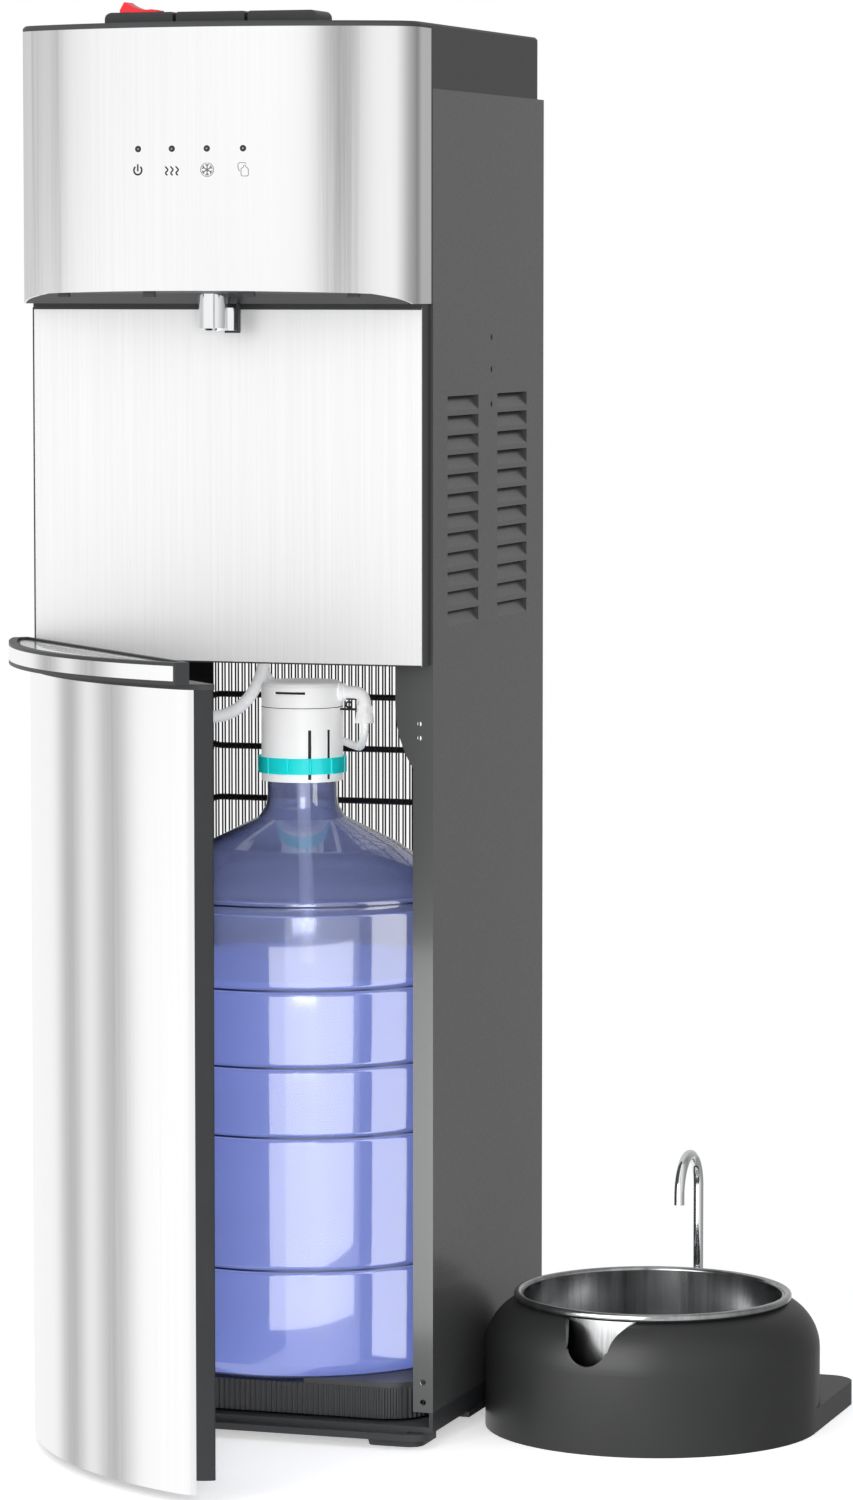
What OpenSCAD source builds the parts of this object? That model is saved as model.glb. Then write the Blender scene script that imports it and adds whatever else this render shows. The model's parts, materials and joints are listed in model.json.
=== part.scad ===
// Free-standing water cooler with a bottle bay below, a swing door and a drinking station beside it.
// Lengths are millimetres, angles degrees. Z is up and the front faces -Y. The origin is on the floor,
// in the middle of the sole of the right front foot. Inside in_cabinet(), X is measured from the middle
// of the cabinet and Y back from its front plane.

/* [Cabinet] */
// Width of the cabinet
cab_w = 306; // [300:1:316]
// Depth of the cabinet from its front plane to its back
cab_d = 276; // [272:1:296]
// Height of the cabinet to the top of its cover
cab_h = 1045; // [1040:1:1080]
// Thickness of the painted sheet
sheet = 1.2; // [0.8:0.1:1.4]
// Thickness of the brushed steel skins
steel_t = 1; // [0.6:0.1:1.2]
// Thickness of the walls of the mouldings and of the hinge plates
wall = 3; // [2:0.1:3.5]
// Thickness of the brackets, the tanks, the drip tray and its grid
thin_wall = 1.5; // [1.2:0.1:1.7]
// Width of the front return flange beside the bay
flange_w = 15.4; // [14:0.1:18]
// Width of the front return flange above the bay
flange_top_w = 29; // [26:0.5:34]
// Height at which the front return flange has its full width
flange_top_z = 550.7; // [540:0.1:560]
// Radius of the curve that widens the front return flange
flange_r = 85; // [70:1:95]
// Width of the rear return flange
rear_flange_w = 13; // [10:1:18]
// Height of the underside of the shelf over the bay
shelf_z = 585; // [585:1:592]
// Thickness of the shelf over the bay
shelf_t = 5; // [3:0.5:6]
// Height from the tank shelf to the top of the cover
tank_shelf_drop = 263; // [255:1:268]

/* [Louvers and holes] */
// Number of louvers in each column
louver_rows = 12; // [4:1:12]
// Length of one louver
louver_l = 77.3; // [60:0.1:80]
// Depth that a louver is pressed in
louver_d = 5; // [3.5:0.1:6]
// Height of a louver
louver_h = 10.6; // [8:0.1:11]
// Vertical pitch of the louvers
louver_pitch = 14.33; // [12:0.01:15]
// Height of the open edge of the top louver
louver_z = 775.2; // [765:0.1:777]
// From the front plane to the first column of louvers
louver_y = 33.4; // [25:0.1:40]
// Distance between the two columns of louvers
louver_gap = 45; // [30:1:50]
// Diameter of the small holes in the side panels
side_hole_d = 4.5; // [3:0.5:6]
// From the front plane to the small holes
side_hole_y = 142; // [120:1:150]
// From the top of the cover to the uppermost small hole
side_hole_drop = 227.5; // [220:0.5:240]
// Distance between the upper two small holes
side_hole_gap = 23.9; // [20:0.1:30]
// From the lower edge of the flange to the lower screw hole
flange_hole_z = 7.4; // [5:0.1:12]
// Distance between the two screw holes of the flange
flange_hole_gap = 15; // [12:0.5:20]

/* [Base and feet] */
// Height of the feet
foot_h = 13; // [12:0.5:15]
// Length of a foot along the front
foot_l = 45; // [35:1:50]
// Depth of a foot
foot_w = 40; // [30:1:45]
// From the side of the cabinet to a foot
foot_inset = 12; // [8:1:20]
// From the front plane to the front feet
foot_y = 5; // [4:0.5:8]
// Thickness of the floor of the base
base_t = 4; // [3:0.5:5]
// Height of the rim of the base above its floor
base_rim_h = 11; // [8:0.5:14]
// Depth of the lip in front of the front plane
lip_d = 8; // [5:0.5:8]
// Height of the underside of the lip
lip_z = 7; // [5:0.5:7]
// Thickness of the lip
lip_t = 5; // [3:0.5:5]
// Corner radius of the lip
lip_corner = 20; // [16:1:25]

/* [Bowed fronts] */
// Depth of the bow across the width of the cabinet
bow = 40; // [35:0.5:42]
// Depth of the straight side of the head
head_side = 42; // [40:0.5:48]
// Corner radius of the head
head_corner = 25; // [20:0.5:28]
// Depth of the straight side of the door
door_side = 17; // [15:0.5:19]
// Corner radius of the door
door_corner = 28; // [22:0.5:28]
// Depth of the straight side of the ledge
ledge_side = 34; // [32:0.5:36]
// Corner radius of the ledge
ledge_corner = 3; // [2:0.5:5]

/* [Head] */
// Height of the head from its underside to the top of the cover
head_h = 202; // [195:1:208]
// Distance from the front plane at which the wrap ends
wrap_stop = 4; // [3:0.5:6]
// Wall of the housing and of the cover of the head
housing_wall = 2.5; // [2:0.1:3]
// Depth of the flat stretch of the underside
under_flat = 38; // [34:1:40]
// Depth at which the underside stops rising steeply
under_mid = 55; // [50:1:60]
// Rise of the underside at that depth
under_rise = 7.3; // [5:0.1:8]
// Rise of the underside from there to the front
under_front_rise = 2.2; // [1:0.1:3]
// Width of a clip tab under the head
clip_w = 9; // [6:0.5:12]
// Drop of a clip tab below the edge of the housing
clip_drop = 2.4; // [2:0.1:4]

/* [Top cover] */
// Height of the skirt and top of the cover
cover_h = 47; // [42:0.5:50]
// Thickness of the top of the cover
cap_t = 4; // [3:0.5:5]
// Corner radius at the back of the cover
cover_corner = 20; // [12:1:24]
// Width of the eased top edge of the cover
cap_edge = 1.8; // [1:0.1:2.5]

/* [Buttons] */
// Width of one button
button_w = 52.6; // [48:0.1:54]
// Gap between neighbouring buttons
button_gap = 2.5; // [1.5:0.1:4]
// Depth of one button
button_d = 34; // [28:1:38]
// From the front plane to the front of the buttons
button_y = 50; // [48:0.5:54]
// Height of the buttons above the cover
button_rise = 8.5; // [7:0.1:10]
// Travel of a button
button_travel = 3.5; // [2:0.1:4]
// Thickness of a button below the top of the cover
button_sink = 1.5; // [1:0.1:2]
// Corner radius of the end buttons
button_round = 5; // [3:0.5:6]
// Diameter of the stem of a button
stem_d = 8; // [6:0.5:10]
// Length of the stem of a button
stem_l = 13; // [11:0.5:16]
// Gap around the buttons in their well
well_gap = 0.8; // [0.5:0.1:1.5]

/* [Child lock] */
// Length of the child lock
lock_l = 29; // [24:0.5:32]
// Height of the child lock
lock_h = 7.5; // [6:0.1:9]
// Depth of the child lock
lock_d = 14; // [10:0.5:18]
// From the left end of the hot button to the child lock
lock_x = 10; // [8:0.5:14]
// Travel of the child lock
lock_travel = 5; // [3:0.5:6]
// Radius of the finger hollow of the child lock
lock_hollow_r = 26; // [22:1:34]

/* [Indicators and control board] */
// Diameter of an indicator lens
lens_d = 4.6; // [3.5:0.1:5]
// Distance between indicator lenses
lens_pitch = 26.9; // [24:0.1:28]
// From the middle to the first lens
lens_x = 44.8; // [42:0.1:46]
// From the top of the cover to the lenses
lens_drop = 90.8; // [85:0.1:95]
// Width of the control board
board_w = 120; // [115:1:125]
// Height of the control board
board_h = 50; // [40:1:60]
// Thickness of the control board
board_t = 1.6; // [1:0.1:2]
// From the front plane to the control board
board_y = 66; // [62:0.5:68]

/* [Spout] */
// Diameter of the spout
spout_d = 24; // [20:0.5:26]
// Bore of the spout
spout_bore = 9; // [6:0.5:12]
// Drop of the spout below the head
spout_drop = 19.3; // [16:0.1:22]
// From the front plane to the axis of the spout
spout_y = 43.5; // [40:0.5:46]
// Diameter of the threaded neck of the spout
neck_d = 16; // [14:0.5:18]
// Length of the threaded neck above the underside
neck_l = 24; // [18:1:28]
// Depth of the block between the spout and its bracket
spout_block_d = 6; // [4:0.5:8]
// Thickness of the spout bracket
bracket_t = 1.6; // [1.2:0.1:2]
// From the middle to the spout bracket
bracket_x = 16; // [14:0.5:30]
// Drop of the spout bracket
bracket_drop = 21.1; // [16:0.1:22]
// Depth of the spout bracket
bracket_d = 5; // [3:0.5:16]

/* [Splash panel] */
// From the side of the cabinet to the splash panel
splash_margin = 2; // [2:0.1:3]
// From the front plane to the face of the splash panel
splash_y = 20.5; // [18:0.1:20.5]
// Gap between the top of the splash panel and the head
splash_gap = 2.9; // [1:0.1:4]

/* [Door] */
// Height of the lower edge of the steel skin
door_z = 7.5; // [7.5:0.1:9]
// Height of the upper edge of the steel skin
door_top = 576; // [570:0.5:576]
// Distance from the front plane at which the skin ends
skin_stop = 16.5; // [16:0.5:18]
// From the front plane to the back of the closed door
door_back = 3; // [2.5:0.1:3.5]
// Height of the lower edge of the liner
liner_z = 10; // [9:0.5:12]
// Height of the lower edge of the liner over the lip and hinge
liner_step_z = 18; // [18:0.5:19]
// From the front plane to that step
liner_step_y = 24; // [22:1:28]
// Radius of the back edges of the liner
liner_edge = 3; // [2:0.5:4]
// Width of the rim around that recess
liner_rim = 16; // [14:1:20]

/* [Hinge] */
// From the side of the cabinet to the hinge axis
hinge_in = 5.5; // [5.5:0.1:6]
// From the front plane to the hinge axis
hinge_y = 12; // [12:0.1:12.5]
// Angle of the door in the photographed pose
door_open = 46.5; // [0:0.5:60]
// Diameter of a hinge pin
pin_d = 5; // [4:0.5:5]
// Length of a hinge pin in the liner
pin_l = 22; // [16:1:30]
// Radius of a hinge plate around its pin
plate_r = 4; // [3.8:0.1:4.1]
// Reach of the web of a hinge plate to the right of the axis
plate_w = 10; // [8:0.5:10]
// From the top of the door to the upper hinge plate
upper_plate_drop = 31; // [29:0.5:40]
// Radius of the notch in the liner around a hinge plate
notch_r = 16; // [16:0.5:18]
// Height of the tab that carries the upper hinge plate
tab_h = 26; // [20:1:30]

/* [Ledge and drip tray] */
// Thickness of the lip that covers the top of the door
lid_t = 4; // [3:0.5:4]
// Height of the steel band
band_h = 10.5; // [9:0.1:12]
// Thickness of the trim above the steel band
rim_t = 2.5; // [2:0.1:3]
// From the front plane to the back of the ledge
ledge_back = 22; // [22:0.1:23]
// Floor of the ledge
ledge_floor = 2; // [1.5:0.1:3]
// Width of the rim of the ledge around the tray
ledge_rim = 6; // [5:0.5:8]
// Gap around the drip tray
tray_gap = 0.5; // [0.3:0.1:0.8]
// Width of a slot in the drip grid
slot_w = 3; // [2:0.5:4]
// Distance between slots in the drip grid
slot_pitch = 7; // [6:0.5:9]

/* [Condenser] */
// Diameter of the condenser tube
tube_d = 4.9; // [4:0.1:6]
// Number of runs of the condenser tube
tube_runs = 19; // [5:2:19]
// Gap between the top run of the condenser and the step of the rear panel
condenser_gap = 20.84; // [16:0.01:24]
// Height of the lowest run
tube_z = 47.1; // [45:0.1:50]
// From the back of the cabinet to the middle of the tube
tube_inset = 14; // [12:0.5:15]
// Number of wires on each side of the tube
wire_count = 41; // [21:2:41]
// Distance between wires
wire_pitch = 5.55; // [5:0.01:5.6]
// Diameter of a wire
wire_d = 1.3; // [1:0.1:1.5]
// Reach of a wire past the outer runs
wire_reach = 7; // [5:0.5:9]
// From the side panel to the outlet line
line_inset = 7.5; // [6:0.5:9]
// Radius of the bends of the two lines
line_bend = 12; // [10:0.5:14]
// Width of a condenser bracket
bracket_w = 40.6; // [36:0.1:41]
// Depth of the flange of a condenser bracket
bracket_flange = 14; // [10:1:20]
// Gap from a condenser bracket to the tube
bracket_gap = 4.5; // [4.3:0.1:6]
// Width of a clip of a condenser bracket
tube_clip_w = 6; // [4:0.5:8]

/* [Bottle] */
// Gap between the bottle and the condenser behind it
bottle_gap = 0.2; // [0.2:0.1:1]
// Distance of the bottle to the right of the middle
bottle_x = 6; // [0:0.5:8]
// From the front plane to the bottle
bottle_front = 4; // [3:0.5:5]
// Height of the bottle
bottle_h = 458; // [452:1:460]
// Wall of the bottle
bottle_wall = 2; // [1.5:0.1:3]
// Outer radius of the neck
mouth_r = 26.5; // [26:0.1:27]
// Depth of a groove around the bottle
groove_depth = 2.5; // [1.5:0.1:3]
// Width of a groove around the bottle
groove_w = 9; // [7:0.5:12]
// Radius of the lower edge of the bottle
bottle_edge = 12; // [10:0.5:16]
// Height of the straight neck
neck_h = 30; // [27:1:32]
// Height of the shoulder between the neck and the body
shoulder_h = 82; // [78:1:86]

/* [Bottle tray] */
// Gap between the left side panel and the bottle tray
stand_gap = 26.8; // [24:0.1:30]
// Distance that the bottle stands out past the tray in front
stand_inset = 7; // [4:0.5:12]
// Height of the bottle tray above the base
stand_h = 29; // [26:0.5:32]
// Height of the feet of the bottle tray
stand_foot_h = 2; // [1:0.5:3]
// Height of the rim around the bottle
stand_rim = 4; // [3:0.5:5]
// Corner radius of the bottle tray
stand_corner = 32; // [26:1:40]
// Pitch of the ribs of the bottle tray
rib_pitch = 4.1; // [3.5:0.1:6]
// Depth of a rib
rib_depth = 1.2; // [0.8:0.1:1.5]

/* [Probe and hoses] */
// Diameter of the probe cap
cap_d = 62; // [61:0.5:64]
// Height of the skirt of the probe cap
cap_h = 55.6; // [52:0.1:58]
// Height of the lid of the probe cap
cap_lid_h = 19.7; // [17:0.1:22]
// Distance that the skirt reaches below the top of the bottle
cap_lap = 18.3; // [16:0.1:22]
// Diameter of the coloured ring
ring_d = 67.6; // [66:0.1:70]
// Height of the coloured ring
ring_h = 12; // [10:0.5:14]
// From the lower edge of the skirt to the ring
ring_lift = 6.3; // [5:0.1:8]
// Width of a slit in the skirt
slit_w = 3; // [2:0.5:4]
// Height of the slits in the skirt
slit_h = 38.5; // [34:0.5:40]
// Diameter of the probe tube
probe_d = 10; // [8:0.5:12]
// Lean of the probe tube to the right
probe_lean = 1.7; // [0:0.1:2]
// From the end of the probe tube to the bottom of the bottle
probe_gap = 9; // [6:0.5:14]
// Reach of the elbow from the cap to the middle of its nut
elbow_reach = 19; // [17:0.5:21]
// Radius of the bend of the elbow
elbow_bend = 8; // [6:0.5:9]
// Diameter of the elbow nut
nut_d = 14.6; // [13:0.1:16]
// Height of the elbow nut
nut_h = 12.9; // [12:0.1:13]
// Diameter of the supply hose
hose_d = 9.5; // [9:0.1:10]
// Diameter of the vent tube
vent_d = 6; // [5:0.1:6]

/* [Cooling and water] */
// Radius of the compressor
comp_r = 58; // [52:1:60]
// Gap between the compressor and the tank shelf
comp_gap = 32; // [26:1:40]
// Height of the rubber mounts
mount_h = 13; // [11:0.5:15]
// Radius of the insulation of the cold tank
foam_r = 84; // [80:1:85]
// Height of the insulation of the cold tank
foam_h = 200; // [190:1:205]
// Thickness of the insulation
foam_t = 12; // [10:0.5:16]
// Radius of the hot tank
hot_r = 50; // [46:1:52]
// Height of the hot tank
hot_h = 178; // [170:1:190]
// Diameter of the water pipes
pipe_d = 8; // [7:0.5:9]
// Radius of the pump
pump_r = 26; // [22:1:28]
// Height of the pump
pump_h = 56; // [50:1:62]

/* [Back] */
// From the back of the cabinet to the lower rear panel
rear_step = 26; // [26:0.5:30]
// Height of the step of the rear panel below the top of the cover
rear_step_drop = 245; // [240:1:250]
// Width of the switch plate
switch_plate_w = 62; // [56:1:70]
// Height of the switch plate
switch_plate_h = 34; // [30:1:40]
// From the top of the cover to the switches
switch_drop = 95; // [90:1:100]
// Width of a rocker
rocker_w = 13; // [11:0.5:15]
// Height of a rocker
rocker_h = 19; // [17:0.5:22]
// Diameter of the drain plug
drain_d = 26; // [22:0.5:30]
// Diameter of a screw head
screw_head_d = 7; // [6:0.5:8]
// Diameter of a screw
screw_d = 3.5; // [3:0.1:4]
// Length of a screw
screw_l = 7; // [6:0.5:9]

/* [Drinking station] */
// Radius of the round housing
pet_r = 126; // [124:0.5:128]
// Height of the straight wall of the housing above the floor
pet_wall_z = 60; // [54:1:62]
// Radius of the shoulder of the housing
pet_shoulder = 38; // [34:0.5:40]
// Gap between the cabinet and the drinking station
pet_gap = 1; // [0.5:0.1:3]
// From the front plane to the middle of the bowl
pet_y = 145; // [140:1:150]
// Thickness of the base plate
pet_base_t = 18; // [15:0.5:20]
// From the middle of the bowl to the back of the base plate
pet_base_back = 136; // [130:1:142]
// Corner radius at the back of the base plate
pet_base_corner = 22; // [16:1:30]
// Outer radius of the rim of the bowl
bowl_rim_r = 104.7; // [103:0.1:106]
// Radius of the rolled edge of the bowl
bowl_roll = 3; // [2.5:0.1:3.5]
// Depth of the bowl
bowl_depth = 58; // [50:1:62]
// Thickness of the steel of the bowl
bowl_t = 1.2; // [1:0.1:1.5]
// Radius of the lower edge of the bowl
bowl_edge = 24; // [18:1:28]
// Diameter of the hooked spout
hook_d = 8; // [7:0.5:9]
// Radius of the bend of the hooked spout
hook_bend = 27.5; // [25:0.5:29]
// Height of the top of the hooked spout
hook_top_z = 196; // [190:1:200]
// Height of the open end of the hooked spout
hook_end_z = 158; // [157:0.5:160]
// From the middle of the bowl back to the stem of the spout
hook_back = 111; // [110:0.5:112]
// Radius of the finger notch
notch_pet_r = 17; // [14:0.5:20]
// Depth of the finger notch below the rim of the bowl
notch_pet_h = 34; // [28:1:38]
// Angle of the finger notch to the left of the front
notch_pet_turn = 8; // [0:1:20]
// Height of the docking tongue
tongue_t = 4; // [3:0.5:5]

/* [Hidden] */

$fn = 64;
bow_fn = 240;

// Overrun of a cut past the face that it opens
over = 1;
// Radial clearance of a running fit
fit_gap = 0.05;
// Clearance of a piece that slides or lifts out
seat_gap = 0.3;
// Clearance of a hole around a pipe, a stud or a screw
hole_gap = 0.3;

half_w = cab_w / 2;
inner_w = cab_w - 2 * sheet;
inner_half = inner_w / 2;
base_top = foot_h + base_t;
panel_z = base_top + base_rim_h;
seam_z = cab_h - cover_h;
cap_z = cab_h - cap_t;
head_z = cab_h - head_h;
shelf_top = shelf_z + shelf_t;
bracket_foot = bracket_x * 0.56;
tank_shelf_z = cab_h - tank_shelf_drop;
tank_floor = tank_shelf_z + wall;
rear_low_y = cab_d - rear_step;
rear_step_z = cab_h - rear_step_drop;
ledge_z = door_top + lid_t;
ledge_top = ledge_z + wall + band_h + rim_t;
splash_z = ledge_z + seat_gap;
basin_z = ledge_z + ledge_floor;
tray_top = ledge_top - thin_wall;
grid_half = floor((half_w - 3 * slot_pitch) / slot_pitch);

hinge_x = hinge_in - half_w;
lower_plate_z = liner_step_z - seat_gap - wall;
upper_plate_z = door_top - upper_plate_drop;
tab_screw_x = half_w - hinge_in - plate_w * 0.5;
tab_screw_z = [for (share = [0.3, 0.7]) upper_plate_z - tab_h * share];
magnet_w = liner_rim * 0.6;
magnet_h = liner_rim * 2.5;
magnet_t = wall * 0.73;
magnet_x = half_w - liner_rim / 2 - magnet_w / 2;
magnet_z = door_top - liner_rim - 2 * magnet_h;

lens_z = cab_h - lens_drop;
lens_proud = steel_t * 0.4;
post_d = board_t * 3.75;
board_x = -cab_w / 15;
post_places = [board_x - board_w / 2 + post_d, board_x + board_w / 2 - post_d];

well_w = 3 * button_w + 2 * button_gap + 2 * well_gap;
well_d = button_d + 2 * well_gap;
well_floor = cab_h - button_sink - button_travel - hole_gap;
button_top = cab_h + button_rise;
lock_left = -1.5 * button_w - button_gap + lock_x;
lock_middle = -button_y + button_d / 3;
tongue_l = lock_l * 0.28;
tongue_w = lock_d * 0.28;
tongue_h = lock_h / 3;

screw_head_h = screw_d * 0.57;
rear_screw_x = half_w - rear_flange_w / 2;
rear_screw_z = [for (share = [0.12, 0.5, 0.88]) rear_step_z + share * (seam_z - rear_step_z)];
switch_x = -cab_w / 5;
switch_z = cab_h - switch_drop;
rocker_y = cab_d;
rocker_tilt = 8;
rocker_places = [switch_x - rocker_w, switch_x + rocker_w];
drain_x = cab_w / 5;
drain_l = drain_d * 0.54;
drain_z = rear_step_z + drain_d + louver_pitch;

tube_y = cab_d - tube_inset;
tube_top = rear_step_z - condenser_gap;
tube_pitch = (tube_top - tube_z) / (tube_runs - 1);
run_half = (wire_count - 1) / 2 * wire_pitch - tube_pitch / 10;
line_lead = wire_pitch;
line_x = run_half + line_lead + line_bend;
outlet_x = inner_half - line_inset;
wire_y = tube_d / 2 + wire_d / 2 + fit_gap;

bottle_back = tube_y - wire_y - wire_d / 2 - bottle_gap;
bottle_r = (bottle_back - bottle_front) / 2;
bottle_y = bottle_front + bottle_r;
bottle_z = base_top + stand_h - stand_rim;
bottle_seat_r = bottle_r + seat_gap;
shoulder_z = bottle_h - neck_h - shoulder_h * 0.56;
stand_w = 2 * (inner_half + bottle_x - stand_gap);
stand_d = 2 * (bottle_r - stand_inset);
stand_y = bottle_y;
cap_bottom = bottle_z + bottle_h - cap_lap;
elbow_z = cap_bottom + cap_h + cap_lid_h * 0.6;
nut_top = elbow_z - elbow_bend - nut_h / 6;
probe_l = (bottle_h - bottle_wall - probe_gap) / cos(probe_lean);

// Machine space: the tanks, the pump, the valves and the pipes between them
comp_x = cab_w / 5.1;
comp_y = cab_d * 0.6;
comp_plate_t = wall;
comp_h = tank_shelf_z - comp_gap - comp_plate_t - mount_h - shelf_top;
comp_plate_w = 2 * comp_r;
tank_x = -cab_w / 5;
tank_y = cab_d * 0.54;
tank_r = foam_r - foam_t;
hot_x = cab_w * 0.31;
pump_x = -cab_w * 0.31;
pump_y = cab_d * 0.36;
pipe_z = head_z + neck_l + pipe_d * 1.4;
link_z = tank_floor + foam_t + 3 * pipe_d;
valve_r = 11;
manifold_back = 14;
manifold_d = 40;
fitting_z = 582;
fitting_places = [[-28, 140], [-112, 172], [-42, 170]];
fitting_top = shelf_top + shelf_z - fitting_z;
inlet_x = fitting_places[1].x;
inlet_y = fitting_places[1].y;
inlet_z = shelf_top + pump_h * 0.5;

pet_x = half_w + pet_gap + pet_r;
bowl_r = bowl_rim_r - 2 * bowl_roll;
hook_right = hook_d * 0.625;
// The rolled edge of the bowl lies on the shoulder of the housing
rim_z = pet_wall_z + sqrt(pow(pet_shoulder + bowl_roll + seat_gap, 2)
    - pow(bowl_rim_r - bowl_roll - pet_r + pet_shoulder, 2));

// The bow is one arc through the ends of the width
bow_r = (half_w * half_w + bow * bow) / (2 * bow);

// Shares of the half width for the clip tabs and the posts of the control board
clip_shares = [-0.73, -0.25, 0.25, 0.73];
// Shares of the height of the bottle for its grooves
groove_shares = [0.182, 0.4, 0.514, 0.64];

// Local Y of the bowed front at a place across it
function bow_y(x, side) = -side - bow + bow_r - sqrt(bow_r * bow_r - x * x);

function unit(v) = v / norm(v);
function running(d) = d + 2 * fit_gap;
function open_round(d) = d + 2 * hole_gap;

module in_cabinet() {
    translate([foot_inset + foot_l / 2 - half_w, -foot_y - foot_w / 2, 0]) children();
}

// Extrudes an outline drawn in X and Z from a place along Y
module upright(y, depth) {
    translate([0, y + depth, 0]) rotate([90, 0, 0]) linear_extrude(depth) children();
}

// Extrudes an outline drawn in Y and Z from a place along X
module sideways(x, width) {
    translate([x, 0, 0]) rotate([90, 0, 90]) linear_extrude(width) children();
}

module raised(z) {
    translate([0, 0, z]) children();
}

// A round piece or cut that runs right along X
module along_x(x, y, z, d, h) {
    translate([x, y, z]) rotate([0, 90, 0]) cylinder(d = d, h = h);
}

// A round piece or cut that runs back along Y
module along_y(x, y, z, d, h) {
    translate([x, y, z]) rotate([-90, 0, 0]) cylinder(d = d, h = h);
}

// A round hole through sheet from a place along Y
module sheet_hole(x, y, z, d) {
    along_y(x, y - over, z, d, sheet + 2 * over);
}

module both_sides() {
    children();
    mirror([1, 0, 0]) children();
}

// Plan of a bowed front: straight sides, an arc across the front and rounded corners
module bow_plan(side, corner, back, inset = 0) {
    middle = [0, bow_r - side - bow];
    seat = [half_w - corner, middle.y - sqrt(pow(bow_r - corner, 2) - pow(half_w - corner, 2))];
    lean = unit(seat - middle);
    reach = 2 * corner;
    difference() {
        intersection() {
            translate(middle) circle(r = bow_r - inset, $fn = bow_fn);
            translate([inset - half_w, -side - bow]) square([cab_w - 2 * inset, side + bow + back]);
        }
        if (corner > inset) {
            both_sides() {
                difference() {
                    polygon([seat, seat + reach * lean, seat + reach * [1, -1], seat + [reach, 0]]);
                    translate(seat) circle(r = corner - inset);
                }
            }
        }
    }
}

// Half plane in front of a distance from the front plane
module ahead_of(y) {
    translate([-cab_w, -cab_w - y]) square([2 * cab_w, cab_w]);
}

module rounded_plan(w, d, corner) {
    difference() {
        translate([-w / 2, -d / 2]) square([w, d]);
        for (turn = [0, 90, 180, 270]) {
            side = turn % 180 == 0 ? [w, d] : [d, w];
            rotate(turn) translate(side / 2 - [corner, corner]) difference() {
                square(corner + over);
                circle(r = corner);
            }
        }
    }
}

// Base, feet and panels

module lip_plan() {
    intersection() {
        union() {
            translate([lip_corner - half_w, -lip_d]) square([cab_w - 2 * lip_corner, lip_d]);
            both_sides() translate([half_w - lip_corner, lip_corner - lip_d]) circle(r = lip_corner);
        }
        ahead_of(0);
    }
}

module base_tray() color("#1d1e20") in_cabinet() {
    difference() {
        union() {
            translate([-half_w, 0, foot_h]) cube([cab_w, cab_d, base_t]);
            both_sides() translate([half_w - wall, 0, foot_h]) cube([wall, cab_d, base_t + base_rim_h]);
            translate([-half_w, cab_d - wall, foot_h]) cube([cab_w, wall, base_t + base_rim_h]);
            raised(lip_z) linear_extrude(lip_t) lip_plan();
            translate([lip_corner - half_w, 0, lip_z]) cube([cab_w - 2 * lip_corner, wall, base_top - lip_z]);
        }
        translate([hinge_x, -hinge_y, lower_plate_z]) linear_extrude(panel_z) lower_plate_plan(hole_gap);
    }
}

module foot() {
    slant = foot_l / 8;
    round_r = foot_l / 4;
    intersection() {
        upright(0, foot_w) polygon([[slant, 0], [foot_l, 0], [foot_l, foot_h], [0, foot_h]]);
        union() {
            translate([0, round_r, 0]) cube([foot_l, foot_w - round_r, foot_h]);
            translate([round_r, 0, 0]) cube([foot_l - 2 * round_r, foot_w, foot_h]);
            for (x = [round_r, foot_l - round_r]) translate([x, round_r, 0]) cylinder(r = round_r, h = foot_h);
        }
    }
}

module feet() color("#2a2b2d") in_cabinet() {
    both_sides() {
        translate([half_w - foot_inset - foot_l, foot_y, 0]) foot();
        translate([half_w - foot_inset - foot_l, cab_d - foot_y, 0]) mirror([0, 1, 0]) foot();
    }
}

// A louver pressed in: its sheet leans in from its lower edge and leaves a slot along the top
module louver_back() {
    upright(-louver_l / 2, louver_l) polygon([[0, -louver_h], [-louver_d, 0], [0, 0]]);
}

module louver_hollow() {
    upright(sheet - louver_l / 2, louver_l - 2 * sheet)
        polygon([[sheet, -louver_h], [sheet - louver_d, 0], [sheet - louver_d, over], [0, over], [0, 0],
            [sheet + over, 0], [sheet + over, -louver_h]]);
}

module louver_places() {
    for (column = [0, 1], row = [0 : louver_rows - 1])
        translate([inner_half, louver_y + louver_l / 2 + column * (louver_l + louver_gap),
            louver_z - row * louver_pitch]) children();
}

module front_flange() {
    upright(0, sheet) {
        translate([half_w - flange_w, panel_z]) square([flange_w, seam_z - panel_z]);
        translate([half_w - flange_top_w, flange_top_z]) square([flange_top_w, seam_z - flange_top_z]);
        intersection() {
            translate([half_w - flange_top_w + flange_r, flange_top_z]) circle(r = flange_r, $fn = bow_fn);
            translate([half_w - flange_top_w, panel_z]) square([flange_top_w, flange_top_z - panel_z]);
        }
    }
}

module side_panel() {
    top_hole_z = cab_h - side_hole_drop;
    side_holes = [top_hole_z, top_hole_z - side_hole_gap, top_hole_z - side_hole_gap - louver_gap * 0.58];
    difference() {
        union() {
            translate([inner_half, 0, panel_z]) cube([sheet, cab_d, seam_z - panel_z]);
            front_flange();
            translate([half_w - rear_flange_w, cab_d - sheet, panel_z])
                cube([rear_flange_w, sheet, seam_z - panel_z]);
            louver_places() louver_back();
        }
        louver_places() louver_hollow();
        for (z = side_holes) along_x(inner_half - over, side_hole_y, z, side_hole_d, sheet + 2 * over);
        for (row = [0, 1])
            sheet_hole(half_w - flange_w / 2, 0, panel_z + flange_hole_z + row * flange_hole_gap, side_hole_d);
        for (z = tab_screw_z) sheet_hole(tab_screw_x, 0, z, running(screw_d));
        for (z = rear_screw_z) sheet_hole(rear_screw_x, cab_d - sheet, z, running(screw_d));
    }
}

module side_panel_right() color("#55575a") in_cabinet() side_panel();

module side_panel_left() color("#55575a") in_cabinet() mirror([1, 0, 0]) side_panel();

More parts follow.
